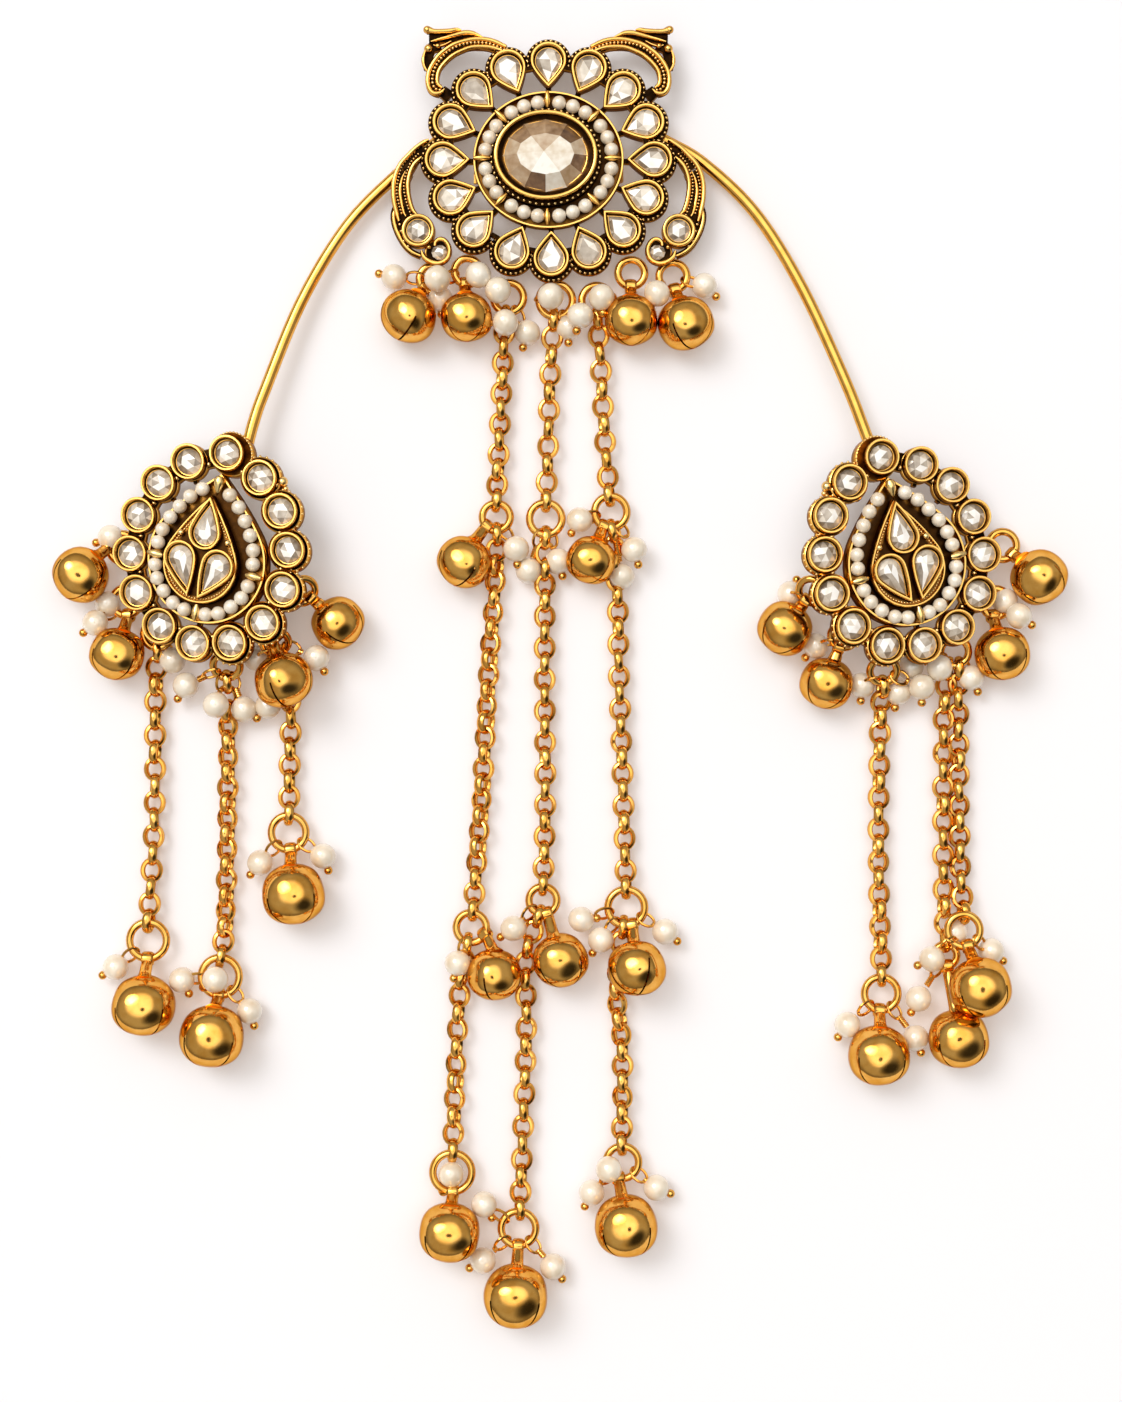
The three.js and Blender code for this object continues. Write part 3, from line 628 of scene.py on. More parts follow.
LEAF_SIDE = [(21.9, 19.9), (22.25, 18.9), (22.4, 17.9), (22.2, 16.9), (21.7, 16.0)]
CORNER_PLATES = [  # route, width at its two ends, face
    (CORNER_BEADS, (2.2, 2.2), 5.3),
    ([(12.2, 22.0), (16.0, 22.3), (21.4, 22.2)], (0.9, 2.6), 5.15),
    ([(19.6, 21.0), (21.3, 19.8), (21.6, 16.4)], (2.2, 1.5), 5.15),
    ([(19.2, 12.7), (17.6, 11.4)], (2.0, 2.4), 5.1),
]
CORNER_RIBS = [  # route, width at each of its points, top, height, steps between points
    (CORNER_BAND, [0.4] + [0.86] * 14 + [0.7], 6.1, 1.3, 4),
    (CORNER_INNER, [0.45] + [0.8] * 10 + [0.7], 6.0, 1.3, 4),
    (LEAF_SIDE, [0.4, 0.6, 0.7, 0.6, 0.3], 5.9, 1.1, 6),
    (LEAF_TOP, [1.35, 0.95, 0.88, 0.92, 0.75, 0.3], 6.05, 1.3, 6),
    (LEAF_LOW, [0.4, 0.62, 0.7, 0.82, 0.95, 0.9, 0.6, 0.3], 6.0, 1.2, 6),
    (LEAF_MID, [0.3, 0.42, 0.42, 0.3], 5.6, 0.8, 6),
]
CORNER_BALLS = [(21.45, 20.0, 0.8), (19.8, 20.5, 0.5), (21.7, 23.4, 0.7)]  # place, radius

# Routes of the arm at a lower side, its round stone and the curl below it.
ARM_BAND = [
    (21.4, 3.7), (22.2, 3.3), (23.65, 2.3), (25.1, 0.9), (26.4, -0.55), (27.25, -2.25),
    (27.7, -4.15), (27.75, -5.85), (27.6, -7.5), (27.2, -9.2), (26.7, -10.9),
]
ARM_INNER = [
    (22.7, 0.6), (23.45, -0.05), (24.2, -0.9), (24.8, -2.25), (25.15, -3.95), (25.1, -5.6),
    (24.8, -7.3), (24.3, -8.8), (23.6, -9.7),
]
ARM_MID = [
    (25.6, -1.9), (26.2, -3.2), (26.5, -4.6), (26.55, -5.9), (26.3, -7.5), (25.9, -9.2), (25.5, -10.0),
]
ARM_FLANK = [
    (27.2, -8.0), (27.7, -9.6), (27.5, -11.5), (26.7, -13.5), (25.6, -15.2), (24.4, -16.3), (22.9, -17.0),
]
CURL_BAND = [
    (20.35, -15.3), (20.2, -14.6), (19.6, -14.1), (18.8, -14.15), (18.05, -14.9), (17.7, -16.0),
    (17.95, -17.2), (18.7, -18.0), (19.9, -18.4), (21.2, -18.1), (22.3, -17.2), (22.7, -16.2),
]
ARM_PLATES = [  # as the corner's
    (ARM_MID, (2.9, 3.4), 5.25),
    ([(21.6, 2.0), (23.6, 0.9), (25.6, -1.6)], (1.4, 2.8), 5.25),
    (ARM_FLANK, (1.2, 1.0), 5.35),
    ([(25.4, -9.6), (25.8, -12.0), (24.6, -14.6)], (2.6, 2.2), 5.1),
]
ARM_RIBS = [
    (ARM_BAND, [0.4] + [0.85] * 9 + [0.5], 6.05, 1.35, 4),
    (ARM_INNER, [0.4] + [0.85] * 7 + [0.6], 6.05, 1.35, 4),
    (ARM_MID, [0.2, 0.5, 0.62, 0.66, 0.62, 0.55, 0.4], 5.8, 1.0, 6),
    (ARM_FLANK, [0.4, 0.7, 0.8, 0.8, 0.8, 0.7, 0.5], 5.6, 1.0, 6),
    (CURL_BAND, [0.75, 0.8, 0.8] + [0.85] * 8 + [0.5], 6.1, 1.5, 4),
]
ARM_BEADS = [
    [
        (23.3, 1.2), (24.5, -0.15), (25.2, -1.6), (25.75, -3.3), (25.85, -5.0), (25.6, -6.7),
        (25.1, -8.4), (24.6, -9.7),
    ],
    [
        (24.0, 1.5), (25.1, 0.4), (26.2, -1.0), (26.8, -2.9), (27.15, -4.8), (27.05, -6.5),
        (26.75, -7.9), (26.3, -9.4),
    ],
]
FLANK_BEADS = [(26.6, -11.4), (26.3, -12.6), (25.9, -14.4), (25.1, -15.3)]
SIDE_STONE = (23.3, -12.6)
CURL_PLATE = (19.9, -16.3)
CURL_STONE = (19.5, -16.4)
CURL_BALL = (21.4, -15.5)
HALVES = (Matrix(), Matrix.Scale(-1, 4, (1, 0, 0)))  # right as drawn, and left as its mirror image


def add_bead_row(piece, half, points, pitch, radius, height):
    route = smooth_route([(x, y, height) for x, y in points], 8)
    for where, _ in spaced(route, 0, 0, round(length_of(route) / pitch)):
        piece.add_ball(half @ where, radius)


def add_plates(piece, half, rows):
    for route, widths, face in rows:
        piece.add(strip_plate(route, widths, BACK, face), half)


def add_ribs(piece, half, rows):
    for route, widths, top, height, steps in rows:
        piece.add(rib(route, widths, top, height, steps), half)


def build_brooch():
    plate = Piece("brooch_backplate", ANTIQUE, "antique_gold", "brooch_frame")
    frames = Piece("brooch_bezels", ANTIQUE, "antique_gold", "brooch_frame")
    beads = Piece("brooch_milgrain", GRAIN_PAINTED_HIGHLIGHT, "antique_gold", "brooch_frame")
    scrolls = Piece("brooch_scrolls", ANTIQUE, "antique_gold", "brooch_frame")
    stones = Piece("brooch_stones", CLEAR, "champagne_stone", "brooch_frame")
    build_petals(plate, frames, beads, stones)
    build_middle(plate, frames, beads, scrolls)
    for half in HALVES:
        build_corner(plate, scrolls, beads, half)
        build_arm(plate, scrolls, beads, half)
        build_side_stone(plate, frames, stones, half)
        build_curl(plate, scrolls, stones, half)
    for piece in (plate, frames, beads, scrolls):
        piece.done()
    stones.done(crease=0)


def arc_points(radius, start, end, steps=12):
    """Points of an arc in `steps` stretches, with both of its ends."""
    turns = [math.radians(start + (end - start) * i / steps) for i in range(steps + 1)]
    return [(radius * math.cos(turn), radius * math.sin(turn)) for turn in turns]


def petal_cuts():
    """Stones for the petals, each with its point a little elsewhere."""
    girdle = teardrop(2.42, 3.85, 12, 3)
    cuts = []
    for seed in range(PETAL_CUTS):
        lean = random.Random(seed)
        apex = (lean.uniform(-0.5, 0.5), lean.uniform(-0.3, 1.0), 6.22)
        rows = [(1, 5.7, 1, 0), (0.7, 6.15, 3, seed % 3)]
        cuts.append(gem(girdle, 5.2, rows, apex, seed))
    return cuts


def build_petals(plate, frames, beads, stones):
    apron = strip_plate(arc_points(SCALLOP - 0.65, 160, 380), (1.3, 1.3), BACK, FACE)
    under = slab(teardrop(3.25, PETAL_REACH, 26, 6), BACK, FACE + 0.2)
    spoke = strip_plate([(0, 3.4), (0, 5.6)], (1.1, 0.9), BACK, FACE)
    tongue = strip_plate([(0, 0), (1.6, 0)], (0.75, 0.75), FACE, 6.75)
    wall = rim_places(teardrop(3.22, PETAL_REACH, 28, 7))
    bezel = sweep(bezel_section(BEZEL_FOOT, BEZEL_TOP, rim=0.54, recess=0.32, seat=SEAT), wall, True)
    milgrain = arc_points(3.72, 166, 374, 15)
    cuts = petal_cuts()
    places = petal_places()
    for i, place in enumerate(places):
        plate.add(apron, place)
        plate.add(under, place)
        plate.add(spoke, place)
        frames.add(bezel, place)
        stones.add(cuts[i % PETAL_CUTS], place)
        after = places[(i + 1) % PETALS]
        here = place @ Vector((0, 0.9, 0))
        there = after @ Vector((0, 0.9, 0))
        middle = (here + there) / 2
        way = math.degrees(math.atan2(there.y - here.y, there.x - here.x))
        frames.add(tongue, at(middle.x, middle.y, 0, way) @ at(-0.8, 0))
        beads.add_balls(place, milgrain, height=FACE + 0.22, radius=0.29)


def build_middle(plate, frames, beads, scrolls):
    """The floor under the seed pearls, their fence and dividers, and the big stone's bezel."""
    # The floor's face is dark with patina and painted shade, its edge a little lighter.
    floor = [
        (0, BACK, 0.1), (0.99, BACK, 0.2), (1, BACK + 0.2, 0.4), (1, FACE - 0.1, 0.4), (0.98, FACE, 0.4),
        (0.88, FACE + 0.05, 0.24), (0.8, FACE, 0.08), (0, FACE, 0.03),
    ]
    plate.add(turned(floor, 64), Matrix.Diagonal((OUTER_WIRE[0] + 0.2, OUTER_WIRE[1] + 0.2, 1, 1)))
    # The fence: darker at its foot, with a painted highlight on top.
    fence = [(-0.2, FACE - 0.4, 0.1), (-0.22, 6.25, 0.7), (-0.13, 6.4, 1.1)]
    frames.add(sweep(both_sides(fence), rim_places(oval(*OUTER_WIRE, 72)), True))
    stand = at(*STONE_PLACE)
    wall = rim_places(oval(*STONE_BEZEL, 72))
    collar = bezel_section(BEZEL_FOOT, STONE_BEZEL_TOP, rim=0.74, recess=1.1, seat=6.9, shade=0.3)
    frames.add(sweep(collar, wall, True), stand)
    # A near-black ledge under the beads round the collar: patina with painted shade.
    ledge = [(-0.6, FACE - 0.2, 0.1), (-0.6, 6.1, 0.05), (0.75, 5.95, 0.05), (0.85, FACE - 0.2, 0.1)]
    plate.add(sweep(ledge, wall, True), stand)
    spots = [where.xy for where in oval(STONE_BEZEL[0] + 0.45, STONE_BEZEL[1] + 0.45, 54)]
    beads.add_balls(stand, spots, height=6.3, radius=0.33)
    bar = [
        (0, -1.5, 0.6), (0.25, -1.45, 0.7), (0.5, -0.6, 0.95), (0.56, 0, 1), (0.5, 0.6, 0.95),
        (0.25, 1.45, 0.7), (0, 1.5, 0.6),
    ]
    divider = turned(bar, 12)
    for i in range(DIVIDERS):
        turn = 2 * math.pi * i / DIVIDERS
        lying = Matrix.Rotation(turn, 4, "Z") @ Matrix.Rotation(math.pi / 2, 4, "Y")
        x = DIVIDER_LOOP[0] * math.cos(turn) - 0.2
        y = DIVIDER_LOOP[1] * math.sin(turn) + 0.2
        scrolls.add(divider, at(x, y, 6.75) @ lying)


def build_corner(plate, scrolls, beads, half):
    """A leafy scroll at an upper corner."""
    add_plates(plate, half, CORNER_PLATES)
    add_ribs(scrolls, half, CORNER_RIBS)
    add_bead_row(beads, half, CORNER_BEADS, pitch=0.66, radius=0.31, height=5.55)
    for x, y, radius in CORNER_BALLS:
        scrolls.add_ball(half @ Vector((x, y, 5.5)), radius, SMOOTH_BALL)


def build_arm(plate, scrolls, beads, half):
    """A lower side arm."""
    add_plates(plate, half, ARM_PLATES)
    add_ribs(scrolls, half, ARM_RIBS)
    for row in ARM_BEADS:
        add_bead_row(beads, half, row, pitch=0.56, radius=0.22, height=5.42)
    beads.add_balls(half, FLANK_BEADS, height=5.4, radius=0.3)


def build_side_stone(plate, frames, stones, half):
    """The round stone at the foot of an arm."""
    stand = half @ at(*SIDE_STONE)
    plate.add(scallop(3.05, BACK, FACE), stand)
    ring = bezel_section(BEZEL_FOOT, BEZEL_TOP - 0.3, rim=0.62, recess=0.26, seat=SEAT)
    frames.add(sweep(ring, rim_places(oval(2.95, 2.95, 36)), True), stand)
    rows = [(1, 5.65, 1, 0), (0.6, 6.2, 2, 1)]
    stones.add(gem(oval(2.12, 2.12, 12), 5.0, rows, apex=(0.1, 0.2, 6.35), seed=11), stand)


def build_curl(plate, scrolls, stones, half):
    """The plate, small stone and end ball inside the curl below an arm."""
    plate.add(scallop(2.35, BACK, FACE, lip=0.02), half @ at(*CURL_PLATE))
    scrolls.add_ball(half @ Vector((*CURL_BALL, 5.5)), 0.42, SMOOTH_BALL)
    rows = [(1, 5.3, 1, 0), (0.6, 5.75, 2, 0)]
    cut = gem(oval(1.45, 1.35, 10), 4.6, rows, apex=(0, 0, 5.85), seed=12)
    stones.add(cut, half @ at(*CURL_STONE))


# Painted reflections of the big stone, anticlockwise from the right: the crown's facets and the table's.
CROWN_REFLECTIONS = [0.66, 0.18, 0.36, 0.44, 0.34, 0.6, 0.55, 0.52, 0.2, 0.88, 0.55, 0.24]
TABLE_REFLECTIONS = [0.84, 0.64, 0.6, 0.82, 0.86, 1.0, 0.98, 0.86]


def build_centre_stone():
    stone = Piece("centre_stone_cut", CHAMPAGNE, "champagne_stone", "centre_stone")
    rows = [(1, 7.1, 1, 0), (0.67, STONE_TABLE, 1, 0)]
    cut = gem(oval(7.6, 6.5, 12), 5.6, rows, apex=(-0.3, 0.5, STONE_TABLE + 0.2), seed=5)
    near_table = STONE_TABLE - 0.05
    for corner in cut.vertices:
        if corner.co.z > near_table:
            corner.co.y *= 0.84
    painted_reflections = cut.attributes["tone"].data
    for facet in cut.polygons:
        middle = facet.center
        share = math.atan2(middle.y, middle.x) / (2 * math.pi) % 1
        reflection_row = TABLE_REFLECTIONS if middle.z > near_table else CROWN_REFLECTIONS
        painted_reflections[facet.index].value = reflection_row[int(share * len(reflection_row))]
    stone.add(cut, at(*STONE_PLACE))
    stone.done(crease=0)


def build_brooch_pearls():
    pearls = Piece("brooch_seed_pearls", PEARL, "pearl", "brooch_pearl_ring")
    for i in range(DIVIDERS):
        for offset in PEARLS_BETWEEN:
            turn = math.radians(360 / DIVIDERS * i + offset)
            where = (PEARL_LOOP[0] * math.cos(turn), PEARL_LOOP[1] * math.sin(turn), 6.5)
            pearls.add_ball(where, SEED_PEARL / 2 + 0.08, SEED)
    pearls.done()


# ---- side drops
DROP_STONES = [  # from the top down the right-hand side; the left-hand side is its mirror image
    (0, 17.4), (6.8, 14.4), (11.6, 9.5), (14.2, 3.1), (14.5, -3.9), (12.0, -10.4), (6.7, -15.2), (0, -16.8),
]
DROP_BACK = 1.25  # face of the bars that join the round bezels
DROP_MIDDLE = -1.0
FLOOR_MIDDLE = -2.1
HEART_MIDDLE = -2.9
DROP_PEARLS = [
    (2.6, 10.2), (4.6, 8.45), (6.2, 6.3), (7.6, 4.05), (8.6, 1.6), (9.0, -0.8),
    (8.8, -4.75), (8.0, -7.05), (6.4, -9.0), (4.3, -10.65), (2.0, -11.35),
]
HEART_STONES = [  # place of the round end, its radius, reach of the point and the way it points
    (0.1, 2.6, 3.0, 6.6, 0),
    (3.5, -2.65, 3.05, 6.9, 157.3),
    (-3.6, -2.55, 3.05, 6.9, -157.3),
]
# Neither drop is quite true: each leans a little to one side.
LEAN_LEFT = Matrix(((1, -0.03, 0, 0), (-0.03, 1, 0, 0), (0, 0, 1, 0), (0, 0, 0, 1)))
LEAN_RIGHT = Matrix(((1, 0.01, 0, 0), (0.02, 1, 0, 0), (0, 0, 1, 0), (0, 0, 0, 1)))
DROPS = {
    "left": (-1, at(-59.6, -70.0, 6.8, -11.8) @ LEAN_LEFT),
    "right": (1, at(62.5, -70.5, 6.8, 13.4) @ LEAN_RIGHT),
}
HEART_ASIDE = {"left": -0.75, "right": -0.3}
DROP_TILT = 10


def barrel(length, radius):
    """A divider: a short bar, thick in the middle."""
    profile = [
        (0, -length / 2, 0.6), (radius * 0.5, -length * 0.46, 0.7), (radius * 0.9, -length * 0.2, 0.95),
        (radius, 0, 1), (radius * 0.9, length * 0.2, 0.95), (radius * 0.5, length * 0.46, 0.7),
        (0, length / 2, 0.6),
    ]
    return turned(profile, 12)


def build_drop(name):
    side, stand = DROPS[name]
    place = stand @ Matrix.Rotation(math.radians(side * DROP_TILT), 4, "Y")
    node = "drop_frame_" + name
    plate = Piece("drop_backplate_" + name, ANTIQUE, "antique_gold", node)
    frames = Piece("drop_bezels_" + name, ANTIQUE, "antique_gold", node)
    beads = Piece("drop_milgrain_" + name, GRAIN_PAINTED_HIGHLIGHT, "antique_gold", node)
    stones = Piece("drop_stones_" + name, CLEAR, "champagne_stone", node)
    build_drop_rim(side, place, plate, frames, beads, stones)
    build_drop_floor(place, plate, frames, beads)
    build_heart(place @ at(HEART_ASIDE[name], 0), plate, frames, beads, stones)
    for piece in (plate, frames, beads):
        piece.done()
    stones.done(crease=0)
    pearls = Piece("drop_seed_pearls_" + name, PEARL, "pearl", "drop_pearls_" + name)
    aside = HEART_ASIDE[name] * 0.5
    spots = [(flip * x + aside, y) for x, y in DROP_PEARLS for flip in (1, -1)]
    pearls.add_balls(place, spots, height=3.5, radius=SEED_PEARL / 2 + 0.1, mesh=SEED)
    pearls.done()


def round_cuts():
    """Round stones, each cut a little differently."""
    cuts = []
    for k in range(5):
        rows = [(1, 2.05, 1, 0), (0.58, 2.65, 2, k % 2)]
        apex = (0.25 * (k % 3) - 0.2, 0.2, 2.8)
        cuts.append(gem(oval(2.4, 2.4, 12), 1.5, rows, apex, seed=20 + k))
    return cuts


def build_drop_rim(side, place, plate, frames, beads, stones):
    """The round bezels in a row, on plates that stand out beside them towards the middle."""
    centres = DROP_STONES + [(-x, y) for x, y in DROP_STONES[-2:0:-1]]
    narrow = scallop(3.35, 0, 1.3)
    reach = 3.85 if side < 0 else 3.65
    wide = scallop(reach, 0, 2.1)
    section = bezel_section(foot=0.8, top=3.3, rim=0.55, recess=0.29, seat=1.9)
    bezel = sweep(section, rim_places(oval(3.22, 3.22, 40)), True)
    cuts = round_cuts()
    for i, (x, y) in enumerate(centres):
        facing = math.degrees(math.atan2(y - DROP_MIDDLE, x))
        spot = place @ at(x, y, 0, facing)
        frames.add(bezel, spot)
        stones.add(cuts[i % len(cuts)], spot @ at(0, 0, 0, 47 * i))
        x2, y2 = centres[(i + 1) % len(centres)]
        plate.add(strip_plate([(x, y), (x2, y2)], (3.4, 3.4), 0, DROP_BACK), place)
        between = Vector(((x + x2) / 2 * 0.93, (y + y2) / 2 * 0.93, 1.9))
        beads.add_ball(place @ between, 0.42, SMOOTH_BALL)
        plate.add(strip_plate([(x, y), (x * 0.76, y * 0.76)], (0.8, 0.8), 0, DROP_BACK), place)
        if x * side < -1:
            plate.add(wide, spot)
            beads.add_balls(spot, arc_points(reach, -90, 90, 10), height=1.9, radius=0.27)
        else:
            plate.add(narrow, spot)
    plate.add(strip_plate([(-side * 9.0, 11.8), (-side * 10.8, 14.7)], (2.0, 1.1), 0, 1.6), place)
    for x, y, radius in [(10.8, 14.7, 0.95), (9.8, 13.9, 0.6), (11.6, 13.6, 0.5)]:
        beads.add_ball(place @ Vector((-side * x, y, 1.7)), radius, SMOOTH_BALL)
    tip = place @ at(-side * 0.75, 17.4)
    plate.add(scallop(4.0, -0.5, 2.2, patina_and_light_value=0.26), tip)
    start = 40 if side > 0 else 140
    milgrain = arc_points(3.85, start, start + side * 153, 17)
    beads.add_balls(tip, milgrain, height=2.25, radius=0.24)


SOFT_EDGE = 0.15


def slab(outline, foot, face):
    """A flat plate of that outline, with a softened upper edge and, inside it, a groove darkened by patina
    and painted shade.
    """
    shape = bmesh.new()
    lift = patina_and_light_layer(shape)
    corners = [shape.verts.new((p.x, p.y, foot)) for p in outline]
    top = shape.faces.new(corners)
    for corner in corners:
        corner[lift] = 0.2
    stages = [  # rise, share of the outline before, level of patina and painted light
        (face - foot - SOFT_EDGE, 1, 0.4), (SOFT_EDGE, 0.985, 0.5), (0.02, 0.88, 0.42), (0.01, 0.93, 0.15),
    ]
    for rise, share, patina_and_light_value in stages:
        grown = bmesh.ops.extrude_face_region(shape, geom=[top])["geom"]
        top = [part for part in grown if isinstance(part, bmesh.types.BMFace)][0]
        bmesh.ops.translate(shape, vec=(0, 0, rise), verts=top.verts)
        bmesh.ops.scale(shape, vec=(share, share, 1), verts=top.verts)
        for corner in top.verts:
            corner[lift] = patina_and_light_value
    return template(shape)


def build_drop_floor(place, plate, frames, beads):
    """The floor under the seed pearls, the thin wire round it, and the dividers."""
    lowered = place @ at(0, FLOOR_MIDDLE)
    outline = teardrop(10.8, 15.4, 48, 12)
    plate.add(slab(outline, 0, 2.1), lowered)
    # Darker at its foot, with a painted highlight on top.
    fence = [
        (-0.22, 1.8, 0.1), (-0.24, 3.25, 0.7), (-0.14, 3.45, 1.1), (0.14, 3.45, 1.1),
        (0.24, 3.25, 0.7), (0.24, 0.2, 0.1),
    ]
    frames.add(sweep(fence, rim_places(outline), True), lowered)
    divider = barrel(3.1, 0.72)
    for x, y, axis in [(9.3, -2.9, "Y"), (-9.3, -2.9, "Y"), (0, -11.4, "X")]:
        beads.add(divider, place @ at(x, y, 4.15) @ Matrix.Rotation(math.pi / 2, 4, axis))
    knob = [
        (0, -1.6, 0.6), (0.7, -1.3, 0.8), (1.0, -0.6, 0.95), (0.9, 0.1, 1), (0.4, 1.3, 0.9), (0, 2.2, 0.8),
    ]
    beads.add(turned(knob, 14), place @ at(0, 11.6, 3.9) @ Matrix.Rotation(math.pi / 2, 4, "X"))


def build_heart(place, plate, frames, beads, stones):
    """The raised block in the middle with its three stones."""
    lowered = place @ at(0, HEART_MIDDLE)
    plate.add(slab(teardrop(6.85, 12.1, 40, 10), 1.5, 3.9), lowered)
    # Darker at its foot, with a painted highlight on the top edge.
    edge = [
        (-0.35, 3.4, 0.1), (-0.32, 4.2, 0.6), (-0.18, 4.45, 1.05), (0.02, 4.45, 1.05),
        (0.2, 4.2, 0.5), (0.2, 1.8, 0.1),
    ]
    frames.add(sweep(edge, rim_places(teardrop(6.75, 12.1, 48, 12)), True), lowered)
    row = teardrop(6.1, 11.0, 60, 14)
    spots = [where.xy for where, _ in spaced(row + row[:1], 0, 0, 84)[:-1]]
    beads.add_balls(lowered, spots, height=4.0, radius=0.24)
    ring = bezel_section(foot=3.4, top=5.4, rim=0.55, recess=0.3, seat=4.2)
    for k, (x, y, radius, reach, turn) in enumerate(HEART_STONES):
        spot = place @ at(x, y, 0, turn)
        frames.add(sweep(ring, rim_places(teardrop(radius, reach, 28, 8)), True), spot)
        girdle = teardrop(radius - 0.83, reach - 1.7, 9, 3)
        cut = [(1, 4.35, 1, 0), (0.55, 4.95, 2, k % 2)]
        stones.add(gem(girdle, 3.7, cut, apex=(0.1, 0.5, 5.1), seed=40 + k), spot)
    beads.add_balls(place, [(4.4, 1.8), (-4.4, 1.8)], height=4.3, radius=0.66, mesh=SMOOTH_BALL)


# ---- arc wires
ARC_WIRE = 1.07  # radius
ARC_ROUTES = {
    "left": [
        (-19.5, 4.5, 2.5), (-27.1, -1.7, 2.5), (-36.2, -11.1, 2.8), (-44.3, -24.8, 3.8),
        (-50.8, -41.0, 4.9), (-52.8, -47.0, 5.5), (-54.3, -53.0, 5.6),
    ],
    "right": [
        (20.4, 4.6, 2.5), (27.8, 0.3, 2.5), (37.2, -8.8, 2.8), (45.4, -22.2, 3.8),
        (53.0, -38.9, 4.7), (56.7, -48.6, 5.3), (58.3, -53.0, 5.3),
    ],
}


def build_arm_wires():
    for name, points in ARC_ROUTES.items():
        piece = Piece("arc_wire_" + name, WIRE, "polished_gold", "arm_wire_" + name)
        piece.add(sweep(round_section(ARC_WIRE, 20), wire_places(smooth_route(points, 14))))
        piece.done()


# ---- rings, pearls and chains
RING_WIRE = 0.69  # radius
HANGING_PEARL = 2.38  # radius
PEARL_HEIGHT = 2.3  # and half its height, for the pearls are a little flat
PIN = 0.27  # radius of an eye pin's wire
COIL_START = 2.3  # from the middle of the eye to the first turn of wire round the pin
COIL_PITCH = 0.4
LINK_PITCH = 2.74
CHAIN_Z = 2.1  # height of a chain that lies on the table
CHAIN_END_Z = 2.5
HIDDEN = None  # the head of an eye pin that points down, out of sight

# Columns: x, y and height of the ring's middle, its outer radius, its lean, the way to its low side,
# and the pearls hung on it, each as x, y, height and the way that the head of its eye pin points.
FRINGE = {
    "brooch_ring_1": (-20.9, -20.7, 3, 3.05, 0, 0, [(-27.8, -20.4, 3, 167), (-19.6, -24.2, 2.3, -84)]),
    "brooch_ring_2": (
        -14.6, -19.4, 3, 3.05, 0, 0, [(-19.8, -21.3, 6.5, HIDDEN), (-12.5, -20.6, 6.3, HIDDEN)],
    ),
    "brooch_ring_3": (14.9, -19.7, 3, 3.1, 0, 0, []),
    "brooch_ring_4": (22.4, -20.3, 3, 3.2, 0, 0, [(19.4, -23.9, 6.2, -114), (28.1, -22, 3, -42)]),
    "left_ring_1": (-76.7, -69.1, 2.6, 3.2, 0, 0, [(-78.9, -67.3, 2.3, -162)]),
    "left_ring_2": (-76.1, -78.8, 2.6, 3.2, 0, 0, [(-81.3, -82.7, 4.4, -141), (-79.4, -79.2, 2.3, HIDDEN)]),
    "left_ring_3": (-43.8, -77.1, 7.2, 3, 32, -43, []),
    "right_ring_1": (81.8, -68.7, 2.6, 3.2, 0, 0, []),
    "right_ring_2": (80.6, -79, 2.6, 3.2, 0, 0, [(84.2, -81.5, 5.6, -35), (82.3, -78.7, 2.3, HIDDEN)]),
    "right_ring_3": (52.7, -85.1, 6.6, 3, 30, -109, [(48.1, -86.8, 3, -132)]),
    "right_ring_4": (46.9, -77.1, 7.2, 3, 32, -127, [(43.6, -77.4, 2.3, 66)]),
}

